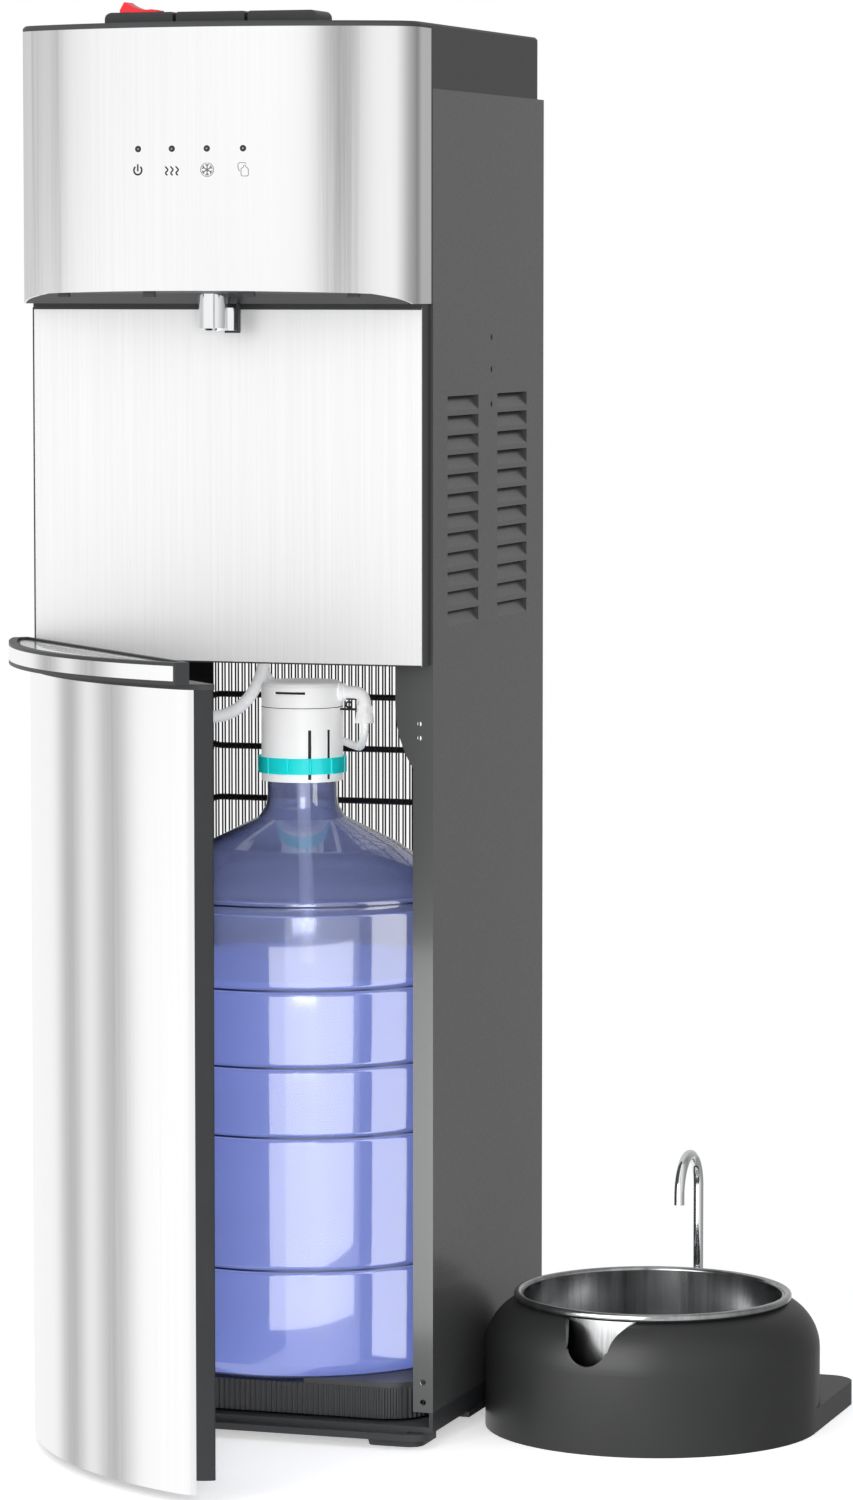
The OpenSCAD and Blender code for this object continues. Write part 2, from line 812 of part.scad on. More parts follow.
module rear_panel() color("#3c3e40") in_cabinet() {
    difference() {
        union() {
            translate([-inner_half, rear_low_y - sheet, shelf_top]) cube([inner_w, sheet, rear_step_z - shelf_top]);
            translate([-inner_half, rear_low_y - sheet, rear_step_z - sheet])
                cube([inner_w, rear_step, sheet]);
            translate([-inner_half, cab_d - 2 * sheet, rear_step_z - sheet])
                cube([inner_w, sheet, seam_z - rear_step_z + sheet]);
        }
        for (x = [line_x, -outlet_x]) sheet_hole(x, rear_low_y - sheet, tube_top, open_round(tube_d));
        sheet_hole(drain_x, cab_d - 2 * sheet, drain_z, running(drain_d / 2));
        rocker_windows();
        both_sides() for (z = rear_screw_z) sheet_hole(rear_screw_x, cab_d - 2 * sheet, z, running(screw_d));
    }
}

module mid_shelf() color("#2b2c2e") in_cabinet() {
    difference() {
        translate([-inner_half, sheet, shelf_z]) cube([inner_w, rear_low_y - sheet, shelf_t]);
        for (place = fitting_places) translate([place.x, place.y, shelf_z - over])
            cylinder(d = running(hose_d), h = shelf_t + 2 * over);
    }
}

module tank_shelf() color("#2b2c2e") in_cabinet() {
    difference() {
        translate([-inner_half, sheet, tank_shelf_z])
            cube([inner_w, rear_low_y - 2 * sheet, wall]);
        translate([pump_x, pump_y, tank_shelf_z - over]) cylinder(d = open_round(pipe_d), h = wall + 2 * over);
    }
}

// Head and cover

module under_profile(lift) {
    deep = head_side + bow + over;
    polygon([[over, head_z + lift], [-under_flat, head_z + lift], [-under_mid, head_z + lift + under_rise],
        [-deep, head_z + lift + under_rise + under_front_rise], [-deep, cap_z], [over, cap_z]]);
}

module above_underside(lift) {
    intersection() {
        linear_extrude(cap_z) children();
        sideways(-half_w, cab_w) under_profile(lift);
    }
}

module lens_bores(d) {
    for (i = [0 : 3]) translate([i * lens_pitch - lens_x, 0, lens_z]) rotate([90, 0, 0])
        cylinder(d = d, h = head_side + bow + over);
}

module head_wrap() color("#d4d6d8") in_cabinet() {
    difference() {
        above_underside(0) intersection() {
            difference() {
                bow_plan(head_side, head_corner, 0);
                bow_plan(head_side, head_corner, 0, steel_t);
            }
            ahead_of(wrap_stop);
        }
        lens_bores(running(lens_d));
    }
}

module head_housing() color("#2d2f31") in_cabinet() {
    difference() {
        union() {
            difference() {
                above_underside(0) {
                    bow_plan(head_side, head_corner, 0, steel_t);
                    difference() {
                        bow_plan(head_side, head_corner, 0);
                        ahead_of(wrap_stop);
                    }
                }
                above_underside(housing_wall) translate([0, over]) bow_plan(head_side, head_corner, 0, steel_t + housing_wall);
                above_underside(housing_wall) bow_plan(head_side, head_corner, 0, steel_t + housing_wall);
            }
            for (share = clip_shares) clip_tab(share * half_w);
            for (x = [0, 1], z = [0, 1]) board_post(post_places[x], lens_z + (z - 0.5) * (board_h - 2 * post_d));
        }
        lens_bores(running(lens_d));
        translate([0, -spout_y, head_z - over]) cylinder(d = running(spout_d), h = head_h / 4);
    }
}

module clip_tab(x) {
    y = bow_y(x, head_side) + steel_t + fit_gap;
    translate([x - clip_w / 2, y + housing_wall, head_z + under_rise - clip_drop])
        cube([clip_w, housing_wall, clip_drop + housing_wall + under_front_rise]);
}

module board_post(x, z) {
    y = bow_y(x, head_side) + steel_t + housing_wall / 2;
    along_y(x, y, z, post_d, -board_y - y);
}

module indicator_lenses() color("#e8ecef") in_cabinet() {
    for (i = [0 : 3]) {
        x = i * lens_pitch - lens_x;
        y = bow_y(x, head_side) - lens_proud;
        along_y(x, y, lens_z, lens_d, -board_y - y);
    }
}

module control_board() color("#1f6b3a") in_cabinet() {
    translate([board_x - board_w / 2, -board_y, lens_z - board_h / 2]) cube([board_w, board_t, board_h]);
}

module cover_plan(inset = 0) {
    difference() {
        bow_plan(head_side, head_corner, cab_d - inset, inset);
        both_sides() translate([half_w - cover_corner, cab_d - cover_corner]) difference() {
            square(cover_corner + over);
            circle(r = cover_corner - inset);
        }
    }
}

module top_cover() color("#3f4144") in_cabinet() {
    difference() {
        union() {
            raised(cap_z) hull() {
                linear_extrude(cap_t - cap_edge) cover_plan();
                linear_extrude(cap_t) cover_plan(cap_edge);
            }
            raised(seam_z) linear_extrude(cap_z - seam_z) difference() {
                cover_plan();
                cover_plan(housing_wall);
                ahead_of(0);
            }
            translate([-well_w / 2 - housing_wall, -button_y - well_gap - housing_wall, well_floor - housing_wall])
                cube([well_w + 2 * housing_wall, well_d + 2 * housing_wall, cap_z - well_floor + housing_wall]);
        }
        translate([-well_w / 2, -button_y - well_gap, well_floor]) cube([well_w, well_d, cab_h]);
        for (i = [-1 : 1]) translate([i * (button_w + button_gap), -button_y + button_d / 2, seam_z])
            cylinder(d = running(stem_d), h = cover_h);
    }
}

// Buttons

module button(i, left_end, right_end) {
    bottom = cab_h - button_sink;
    height = button_rise + button_sink;
    ease = button_round / 3;
    translate([i * (button_w + button_gap), -button_y, 0]) difference() {
        union() {
            upright(0, button_d) translate([-button_w / 2, bottom])
                eased_block(button_w, height, left_end ? button_round : ease, right_end ? button_round : ease);
            translate([0, button_d / 2, bottom - stem_l]) cylinder(d = stem_d, h = stem_l + over);
        }
        // The front edge of the top leans back a little
        sideways(-button_w, 2 * button_w) polygon([[-over, bottom + height - ease], [0, bottom + height - ease],
            [ease, bottom + height], [ease, bottom + height + over], [-over, bottom + height + over]]);
    }
}

module eased_block(w, h, left_r, right_r) {
    difference() {
        square([w, h]);
        translate([left_r, h - left_r]) rotate(90) corner_rest(left_r);
        translate([w - right_r, h - right_r]) corner_rest(right_r);
    }
}

module corner_rest(r) {
    difference() {
        square(r + over);
        circle(r = r);
    }
}

module hot_button() color("#4a4d50") in_cabinet() {
    difference() {
        button(-1, true, false);
        translate([lock_left + lock_l / 2 - tongue_l / 2 - fit_gap, lock_middle - tongue_w / 2 - seat_gap,
            button_top - tongue_h - seat_gap])
            cube([tongue_l + lock_travel + 2 * fit_gap + seat_gap, tongue_w + 2 * seat_gap, tongue_h + cover_h]);
    }
}

module room_button() color("#4a4d50") in_cabinet() button(0, false, false);

module cold_button() color("#4a4d50") in_cabinet() button(1, false, true);

module child_lock() color("#dc1e28") in_cabinet() {
    tip = lock_l / 6;
    tail = lock_h / 5;
    upright(lock_middle - lock_d / 2, lock_d) translate([lock_left, button_top + fit_gap]) difference() {
        polygon([[0, 0], [lock_l, 0], [lock_l, tail], [lock_l - tail, tail], [tip, lock_h],
            [tip * 0.7, lock_h], [0, lock_h / 4]]);
        translate([tip + sqrt(pow(lock_hollow_r, 2) - pow(lock_hollow_r - lock_h + tail * 1.3, 2)),
            lock_hollow_r + tail * 1.3]) circle(r = lock_hollow_r, $fn = bow_fn);
    }
    translate([lock_left + (lock_l - tongue_l) / 2, lock_middle - tongue_w / 2, button_top - tongue_h])
        cube([tongue_l, tongue_w, tongue_h + tail]);
}

// Spout and splash panel

module spout() color("#c9ccd0") in_cabinet() {
    bottom = head_z - spout_drop;
    ease = spout_d / 16;
    translate([0, -spout_y, 0]) rotate_extrude() polygon([[spout_bore / 2, bottom + ease],
        [spout_bore / 2 + ease, bottom], [spout_d / 2 - ease, bottom], [spout_d / 2, bottom + ease],
        [spout_d / 2, head_z + under_rise], [neck_d / 2, head_z + under_rise], [neck_d / 2, head_z + neck_l],
        [spout_bore / 2, head_z + neck_l]]);
    difference() {
        translate([0, -spout_y - spout_block_d / 2, bottom])
            cube([bracket_x - fit_gap, spout_block_d, spout_drop * 0.85]);
        translate([0, -spout_y, bottom - over]) cylinder(d = spout_d, h = spout_drop + 2 * over);
    }
}

module spout_bracket() color("#1b1c1e") in_cabinet() {
    upright(-under_flat - bracket_d / 2, bracket_d) {
        translate([bracket_x, head_z - bracket_drop]) square([bracket_t, bracket_drop]);
        translate([bracket_x - bracket_foot, head_z - bracket_drop]) square([bracket_foot + bracket_t, bracket_t]);
    }
}

module splash_panel() color("#d9dbdd") in_cabinet() {
    translate([splash_margin - half_w, -splash_y, splash_z])
        cube([cab_w - 2 * splash_margin, sheet, head_z - splash_gap - splash_z]);
}

module splash_frame() color("#26282a") in_cabinet() {
    width = cab_w - 2 * splash_margin;
    depth = splash_y - sheet;
    height = head_z - splash_z;
    difference() {
        translate([-width / 2, -depth, splash_z]) cube([width, depth, height]);
        translate([wall - width / 2, wall - depth, splash_z + wall])
            cube([width - 2 * wall, depth, height - 2 * wall]);
    }
}

// Condenser

module quarter_bend(r, d, angle = 90) {
    rotate_extrude(angle = angle) translate([r, 0]) circle(d = d);
}

module condenser_tube() color("#17181a") in_cabinet() translate([0, tube_y, 0]) {
    for (run = [0 : tube_runs - 2]) along_x(-run_half, 0, tube_z + run * tube_pitch, tube_d, 2 * run_half);
    along_x(-run_half, 0, tube_top, tube_d, 2 * run_half + line_lead);
    for (run = [0 : tube_runs - 2]) let (end = run % 2 == 0 ? 1 : -1)
        translate([end * run_half, 0, tube_z + (run + 0.5) * tube_pitch])
            rotate([90, end * 90, 0]) quarter_bend(tube_pitch / 2, tube_d, 180);
    // Inlet line, from the top run forward into the machine space
    translate([run_half + line_lead, -line_bend, tube_top]) quarter_bend(line_bend, tube_d);
    translate([line_x, -line_bend, tube_top]) rotate([90, 0, 0]) cylinder(d = tube_d, h = rear_step / 2 + thin_wall);
    // Outlet line, from the lowest run out and up beside the bracket, then forward
    along_x(line_bend - outlet_x, 0, tube_z, tube_d, outlet_x - line_bend - run_half);
    translate([line_bend - outlet_x, 0, tube_z + line_bend]) rotate([90, 180, 0]) quarter_bend(line_bend, tube_d);
    translate([-outlet_x, 0, tube_z + line_bend]) cylinder(d = tube_d, h = tube_top - tube_z - 2 * line_bend);
    translate([-outlet_x, -line_bend, tube_top - line_bend]) rotate([90, 0, 90]) quarter_bend(line_bend, tube_d);
    translate([-outlet_x, -line_bend, tube_top]) rotate([90, 0, 0]) cylinder(d = tube_d, h = rear_step / 2 + thin_wall);
}

module condenser_wires() color("#17181a") in_cabinet() translate([0, tube_y, tube_z - wire_reach]) {
    for (i = [0 : wire_count - 1], layer = [-1, 1])
        translate([(i - (wire_count - 1) / 2) * wire_pitch, layer * wire_y, 0])
            cylinder(d = wire_d, h = tube_top - tube_z + 2 * wire_reach, $fn = 16);
}

module condenser_brackets() color("#141516") in_cabinet() {
    plate_y = tube_y - tube_d / 2 - bracket_gap;
    difference() {
        both_sides() {
            translate([inner_half - bracket_w, plate_y - thin_wall, tube_z - wire_reach])
                cube([bracket_w, thin_wall, tube_top - tube_z + 2 * wire_reach]);
            translate([inner_half - thin_wall, plate_y - bracket_flange, tube_z - wire_reach])
                cube([thin_wall, bracket_flange, shelf_z - tube_z]);
            for (run = [1, 7, 11, 17]) if (run < tube_runs)
                translate([inner_half - bracket_w + wire_d, plate_y - over, tube_z + run * tube_pitch - tube_clip_w / 2])
                    cube([tube_clip_w, bracket_gap + over - fit_gap, tube_clip_w]);
        }
        for (x = [line_x, -outlet_x])
            along_y(x, plate_y - bracket_flange - over, tube_top, 2 * tube_d, bracket_flange + 2 * over);
    }
}

// Bottle, its tray and its probe

// One straight side of the ribbed outline, with ribs standing out to the right of the way along it
function rib_run(start, heading, length, count) = [for (i = [0 : count - 1], step = [0 : 3])
    start + (i + step / 4) * length / count * heading
        + (step == 1 || step == 2 ? rib_depth : 0) * [heading.y, -heading.x]];

function rib_corner(middle, turn, count) = [for (i = [0 : count - 1], step = [0 : 3])
    let (a = turn + (i + step / 4) * 90 / count, r = stand_corner + (step == 1 || step == 2 ? rib_depth : 0))
        middle + r * [cos(a), sin(a)]];

module ribbed_plan() {
    long = stand_w - 2 * stand_corner;
    deep = stand_d - 2 * stand_corner;
    a = stand_w / 2;
    b = stand_d / 2;
    c = stand_corner;
    bends = floor(stand_corner * 1.57 / rib_pitch);
    polygon(concat(
        rib_run([c - a, -b], [1, 0], long, floor(long / rib_pitch)), rib_corner([a - c, c - b], -90, bends),
        rib_run([a, c - b], [0, 1], deep, floor(deep / rib_pitch)), rib_corner([a - c, b - c], 0, bends),
        rib_run([a - c, b], [-1, 0], long, floor(long / rib_pitch)), rib_corner([c - a, b - c], 90, bends),
        rib_run([-a, b - c], [0, -1], deep, floor(deep / rib_pitch)), rib_corner([c - a, c - b], 180, bends)));
}

module bottle_tray() color("#26282a") in_cabinet() translate([bottle_x, stand_y, base_top]) {
    skirt = stand_h - stand_foot_h;
    difference() {
        union() {
            raised(stand_foot_h) linear_extrude(skirt - stand_rim) ribbed_plan();
            raised(stand_foot_h) linear_extrude(skirt) rounded_plan(stand_w, stand_d, stand_corner);
        }
        translate([0, bottle_y - stand_y, stand_h - stand_rim]) cylinder(r = bottle_seat_r, h = stand_rim + over, $fn = bow_fn);
        raised(stand_foot_h - over) linear_extrude(skirt - stand_rim - wall + over)
            rounded_plan(stand_w - 2 * wall, stand_d - 2 * wall, stand_corner - wall);
    }
    for (x = [-1, 1], y = [-1, 1]) translate([x * stand_w / 3, y * stand_d / 3, 0])
        cylinder(d = stand_corner / 2, h = stand_h - stand_rim - wall);
}

function groove_points(z, t) = [[bottle_r - t, z - groove_w / 2], [bottle_r - groove_depth - t, z - groove_w / 6],
    [bottle_r - groove_depth - t, z + groove_w / 6], [bottle_r - t, z + groove_w / 2]];

// Half section of the bottle, drawn in by a thickness
function bottle_points(t) = concat(
    [[0, t], [bottle_r - bottle_edge, t], [bottle_r - bottle_edge * 0.3 - t * 0.7, bottle_edge * 0.3 + t * 0.3],
        [bottle_r - t, bottle_edge]],
    [for (share = groove_shares) each groove_points(share * bottle_h, t)],
    [[bottle_r - t, shoulder_z - shoulder_h * 0.41], [bottle_r * 0.955 - t, shoulder_z - shoulder_h * 0.36],
        [bottle_r * 0.955 - t, shoulder_z - shoulder_h * 0.3], [bottle_r * 0.93 - t, shoulder_z - shoulder_h * 0.27],
        [bottle_r * 0.79, shoulder_z - shoulder_h * 0.11 - t], [bottle_r * 0.58, shoulder_z + shoulder_h * 0.11 - t],
        [bottle_r * 0.26, shoulder_z + shoulder_h * 0.36 - t], [mouth_r + over - t, bottle_h - neck_h * 1.25 - t],
        [mouth_r - t, bottle_h - neck_h], [mouth_r - t, bottle_h + (t > 0 ? over : 0)],
        [0, bottle_h + (t > 0 ? over : 0)]]);

module bottle() color("#6f8fe0", 0.6) in_cabinet() translate([bottle_x, bottle_y, bottle_z]) difference() {
    rotate_extrude($fn = bow_fn) polygon(bottle_points(0));
    rotate_extrude($fn = bow_fn) polygon(bottle_points(bottle_wall));
}

module at_bottle(z) {
    translate([bottle_x, bottle_y, z]) children();
}

module probe_cap() color("#e9ebed") in_cabinet() at_bottle(cap_bottom) difference() {
    cylinder(d = cap_d, h = cap_h);
    raised(-over) cylinder(r = mouth_r + seat_gap, h = cap_lap + seat_gap + over);
    for (turn = [-60, -30, 150, 120]) rotate(turn) translate([cap_d / 2 - over, -slit_w / 2, ring_lift / 4])
        cube([2 * over, slit_w, slit_h]);
}

module probe_cap_lid() color("#e9ebed") in_cabinet() at_bottle(cap_bottom + cap_h) difference() {
    rotate_extrude() polygon([[0, 0], [cap_d / 2 - over / 2, 0], [cap_d / 2 - over / 2, over], [cap_d / 2, over],
        [cap_d / 2, cap_lid_h * 0.8], [cap_d / 2 * 0.96, cap_lid_h * 0.94], [cap_d / 2 * 0.88, cap_lid_h], [0, cap_lid_h]]);
    translate([-cap_d / 5, -cap_d / 2 - over, cap_lid_h * 0.55]) cube([cap_d * 0.4, cap_d / 12, cap_lid_h / 9]);
}

module probe_ring() color("#32ffff") in_cabinet() at_bottle(cap_bottom + ring_lift) difference() {
    cylinder(d = ring_d, h = ring_h);
    raised(-over) cylinder(d = running(cap_d), h = ring_h + 2 * over);
    for (turn = [0 : 30 : 330]) rotate(turn) translate([ring_d / 2, 0, -over]) cylinder(d = over * 2, h = ring_h + 2 * over);
}

module hose_elbow() color("#e9ebed") in_cabinet() translate([bottle_x + cap_d / 2, bottle_y, elbow_z]) {
    along_x(0, 0, 0, hose_d * 1.4, hose_d / 3);
    along_x(0, 0, 0, hose_d, elbow_reach - elbow_bend);
    translate([elbow_reach - elbow_bend, 0, -elbow_bend]) rotate([90, 0, 0]) quarter_bend(elbow_bend, hose_d);
    translate([elbow_reach, 0, nut_top - elbow_z]) cylinder(d = hose_d, h = elbow_z - elbow_bend - nut_top);
}

module elbow_nut() color("#d8dadc") in_cabinet() translate([bottle_x + cap_d / 2 + elbow_reach, bottle_y, nut_top - nut_h]) {
    cylinder(d1 = nut_d, d2 = nut_d * 0.86, h = nut_h * 0.6);
    raised(nut_h * 0.6) cylinder(d = nut_d * 0.86, h = nut_h * 0.4, $fn = 6);
}

module probe_tube() color("#e9ebee") in_cabinet() at_bottle(cap_bottom + cap_lap + seat_gap) difference() {
    rotate([0, 180 - probe_lean, 0]) raised(-over) difference() {
        cylinder(d = probe_d, h = probe_l);
        raised(-over) cylinder(d = probe_d * 0.7, h = probe_l + 2 * over);
    }
    translate([-probe_d, -probe_d, 0]) cube(2 * probe_d);
}

// Hoses: the routes are points chosen by hand, in the cabinet's own frame

supply_route = [[-28, 140, 582], [-28, 140, 570], [-34, 146, 556], [-44, 149, 541], [-58, 150, 530], [-76, 150, 526],
    [-94, 154, 531], [-106, 162, 546], [-111, 170, 562], [-112, 172, 570], [-112, 172, 582]];
vent_route = [[56, 131, 526], [56, 131, 519], [50, 142, 509], [38, 166, 505], [16, 182, 510], [-6, 185, 522],
    [-26, 180, 541], [-39, 172, 561], [-42, 170, 574], [-42, 170, 582]];

function way(route, i) = unit(route[min(i + 1, len(route) - 1)] - route[max(i - 1, 0)]);
function square_to(v, axis) = unit(v - (v * axis) * axis);
function carried(route, i, v) = i == len(route) ? [] :
    let (now = square_to(v, way(route, i))) concat([now], carried(route, i + 1, now));

module hose(route, d, sides) {
    across = carried(route, 0, [0, 1, 0]);
    rings = [for (i = [0 : len(route) - 1], k = [0 : sides - 1])
        route[i] + d / 2 * (cos(360 * k / sides) * across[i] + sin(360 * k / sides) * cross(way(route, i), across[i]))];
    last = (len(route) - 1) * sides;
    skin = [for (i = [0 : len(route) - 2], k = [0 : sides - 1]) let (a = i * sides + k, b = i * sides + (k + 1) % sides)
        each [[a, a + sides, b], [b, a + sides, b + sides]]];
    start_cap = [for (k = [1 : sides - 2]) [0, k, k + 1]];
    end_cap = [for (k = [1 : sides - 2]) [last, last + k + 1, last + k]];
    polyhedron(points = rings, faces = concat(skin, start_cap, end_cap));
}

module supply_hose() color("#eceef0") in_cabinet() hose(supply_route, hose_d, 12);

module vent_tube() color("#d9dcdf") in_cabinet() hose(vent_route, vent_d, 10);

module hose_fittings() color("#d8dadc") in_cabinet() for (place = fitting_places) translate([place.x, place.y, fitting_z]) {
    cylinder(d = hose_d * 1.6, h = shelf_z - fitting_z, $fn = 6);
    raised(shelf_z - fitting_z) cylinder(d = hose_d, h = shelf_t);
    raised(shelf_top - fitting_z) cylinder(d = hose_d * 1.6, h = shelf_z - fitting_z, $fn = 6);
}

// Machine space

module compressor() color("#17181a") in_cabinet() translate([comp_x, comp_y, shelf_top + mount_h]) {
    ease = comp_r / 3;
    linear_extrude(comp_plate_t) rounded_plan(comp_plate_w, comp_plate_w, comp_plate_w / 8);
    raised(comp_plate_t) rotate_extrude() difference() {
        square([comp_r, comp_h]);
        translate([comp_r - ease, comp_h - ease]) corner_rest(ease);
        translate([comp_r - ease, ease]) mirror([0, 1]) corner_rest(ease);
    }
    raised(comp_plate_t + comp_h * 0.48) cylinder(r = comp_r + comp_plate_t, h = comp_h * 0.04);
}

module compressor_mounts() color("#2b2b2b") in_cabinet() translate([comp_x, comp_y, shelf_top]) {
    place = comp_plate_w / 2 - mount_h;
    for (x = [-1, 1], y = [-1, 1]) translate([x * place, y * place, 0]) rotate_extrude()
        polygon([[0, 0], [mount_h * 0.8, 0], [mount_h * 0.8, mount_h * 0.3], [mount_h * 0.5, mount_h * 0.5],
            [mount_h * 0.8, mount_h * 0.7], [mount_h * 0.8, mount_h], [0, mount_h]]);
}

module pipe_holes() {
    along_y(tank_x, -manifold_back, pipe_z, open_round(pipe_d), tank_y);
    translate([pump_x, pump_y, tank_shelf_z]) cylinder(d = open_round(pipe_d), h = foam_h / 2);
    along_x(tank_x, tank_y, link_z, open_round(pipe_d), 2 * foam_r);
}

module cold_tank() color("#c2c5c8") in_cabinet() translate([tank_x, tank_y, tank_floor + foam_t]) difference() {
    cylinder(r = tank_r, h = foam_h - 2 * foam_t);
    raised(thin_wall) cylinder(r = tank_r - thin_wall, h = foam_h - 2 * foam_t - 2 * thin_wall);
}

module tank_insulation() color("#e6e2d4") in_cabinet() difference() {
    translate([tank_x, tank_y, tank_floor]) difference() {
        cylinder(r = foam_r, h = foam_h);
        raised(foam_t) cylinder(r = tank_r + fit_gap, h = foam_h - 2 * foam_t);
    }
    pipe_holes();
}

module hot_tank() color("#b9bcc0") in_cabinet() translate([hot_x, tank_y, tank_floor]) difference() {
    cylinder(r = hot_r, h = hot_h);
    raised(thin_wall) cylinder(r = hot_r - thin_wall, h = hot_h - 2 * thin_wall);
}

module water_pump() color("#3a3c3f") in_cabinet() translate([pump_x, pump_y, shelf_top]) {
    cylinder(r = pump_r, h = pump_h * 0.7);
    cylinder(r = pump_r * 0.8, h = pump_h);
    translate([inlet_x - pump_x - pipe_d * 0.8, 0, inlet_z - shelf_top - pipe_d * 0.8])
        cube([pipe_d * 1.6, pump_r, pipe_d * 1.6]);
}

module solenoid_valves() color("#d6d8da") in_cabinet() {
    leg_w = valve_r;
    bottom = head_z + neck_l;
    left = tank_x - valve_r;
    width = hot_x - tank_x + 2 * valve_r;
    translate([left, -manifold_back - manifold_d, bottom]) cube([width, manifold_d, valve_r * 2]);
    for (x = [left, left + width - leg_w]) translate([x, -manifold_back - valve_r, head_z + housing_wall])
        cube([leg_w, valve_r, neck_l - housing_wall]);
    for (x = [tank_x, (tank_x + hot_x) / 2, hot_x]) translate([x, -manifold_back - manifold_d / 2, bottom + valve_r * 2])
        cylinder(r = valve_r, h = valve_r * 2.2);
}

module water_pipes() color("#e4e6e8") in_cabinet() {
    for (x = [tank_x, hot_x]) {
        front = x == tank_x ? tank_y - tank_r : tank_y - hot_r;
        along_y(x, -manifold_back, pipe_z, pipe_d, front + manifold_back - fit_gap);
    }
    translate([pump_x, pump_y, shelf_top + pump_h]) cylinder(d = pipe_d, h = tank_floor + foam_t - shelf_top - pump_h);
    along_x(tank_x + tank_r + fit_gap, tank_y, link_z, pipe_d, hot_x - hot_r - tank_x - tank_r - 2 * fit_gap);
    // Inlet of the pump, from the second hose fitting
    translate([inlet_x, inlet_y, fitting_top]) cylinder(d = pipe_d, h = inlet_z - line_bend - fitting_top);
    translate([inlet_x, inlet_y - line_bend, inlet_z - line_bend]) rotate([90, 0, 90]) quarter_bend(line_bend, pipe_d);
    along_y(inlet_x, pump_y + pump_r, inlet_z, pipe_d, inlet_y - line_bend - pump_y - pump_r);
}

module drain_plug() color("#e9eaec") in_cabinet() translate([drain_x, cab_d - sheet, drain_z]) {
    along_y(0, 0, 0, drain_d, drain_l);
    for (turn = [0 : 30 : 330]) rotate([0, turn, 0]) translate([drain_d / 2, 0, 0]) rotate([-90, 0, 0])
        cylinder(d = drain_d / 10, h = drain_l * 0.8);
    rotate([90, 0, 0]) cylinder(d = drain_d / 2, h = drain_l);
}

module switch_plate() color("#232426") in_cabinet() difference() {
    translate([switch_x - switch_plate_w / 2, cab_d - sheet, switch_z - switch_plate_h / 2])
        cube([switch_plate_w, thin_wall, switch_plate_h]);
    rocker_windows();
}

module rocker_windows() {
    for (x = rocker_places)
        translate([x - rocker_w / 2 - seat_gap, cab_d - 3 * sheet, switch_z - rocker_h / 2 - seat_gap])
            cube([rocker_w + 2 * seat_gap, 3 * sheet + thin_wall + over, rocker_h + 2 * seat_gap]);
}

module rocker(x) {
    translate([x, rocker_y, switch_z]) rotate([-rocker_tilt, 0, 0]) sideways(-rocker_w / 2, rocker_w) intersection() {
        circle(d = rocker_h);
        polygon([[-rocker_h / 3, -rocker_h], [rocker_h * 0.22, -rocker_h], [rocker_h * 0.22, -rocker_h / 2],
            [rocker_h / 9, 0], [rocker_h * 0.22, rocker_h / 2], [rocker_h * 0.22, rocker_h], [-rocker_h / 3, rocker_h]]);
    }
}

module hot_switch() color("#c8242c") in_cabinet() rocker(rocker_places[0]);

module cold_switch() color("#2f7fc4") in_cabinet() rocker(rocker_places[1]);

module cabinet_screws() color("#a9acb0") in_cabinet() {
    both_sides() for (z = rear_screw_z) {
        along_y(rear_screw_x, cab_d - screw_l, z, screw_d, screw_l);
        along_y(rear_screw_x, cab_d, z, screw_head_d, screw_head_h);
    }
    for (z = tab_screw_z) {
        along_y(-tab_screw_x, -thin_wall, z, screw_d, screw_l);
        along_y(-tab_screw_x, -thin_wall * 1.5, z, screw_head_d, thin_wall / 2);
    }
}

// Door and hinge

module in_door() {
    translate([hinge_x, -hinge_y, 0]) rotate(-door_open) translate([-hinge_x, hinge_y, 0]) children();
}

module lower_plate_plan(gap = 0) {
    translate([-gap - plate_r * 0.4, -gap]) square([plate_w * 1.6 + 2 * gap, hinge_y + plate_w * 2 + 2 * gap]);
}

module hinge_plate_plan(depth, width) {
    difference() {
        union() {
            circle(r = plate_r);
            translate([-plate_r * 0.4, 0]) square([width, depth]);
        }
        circle(d = running(pin_d));
    }
}

module hinge_brackets() color("#b4b7ba") in_cabinet() translate([hinge_x, -hinge_y, 0]) {
    raised(lower_plate_z) linear_extrude(wall) hinge_plate_plan(hinge_y + plate_w * 2, plate_w * 1.6);
    raised(upper_plate_z) linear_extrude(wall) hinge_plate_plan(hinge_y, plate_w);
    difference() {
        translate([-plate_r * 0.4, hinge_y - thin_wall, upper_plate_z - tab_h]) cube([plate_w, thin_wall, tab_h]);
        for (z = tab_screw_z) along_y(-tab_screw_x - hinge_x, 0, z, running(screw_d), 2 * hinge_y);
    }
}

module hinge_pins() color("#c9ccd0") in_cabinet() in_door() translate([hinge_x, -hinge_y, 0]) {
    raised(lower_plate_z) cylinder(d = pin_d, h = liner_step_z - lower_plate_z + pin_l);
    raised(upper_plate_z) cylinder(d = pin_d, h = wall + 2 * seat_gap + pin_l);
}

module liner_plan() {
    difference() {
        union() {
            bow_plan(door_side, door_corner, -door_back, steel_t);
            difference() {
                bow_plan(door_side, door_corner, -door_back);
                ahead_of(skin_stop);
            }
        }
        both_sides() translate([half_w - liner_edge, -door_back - liner_edge]) corner_rest(liner_edge);
    }
}

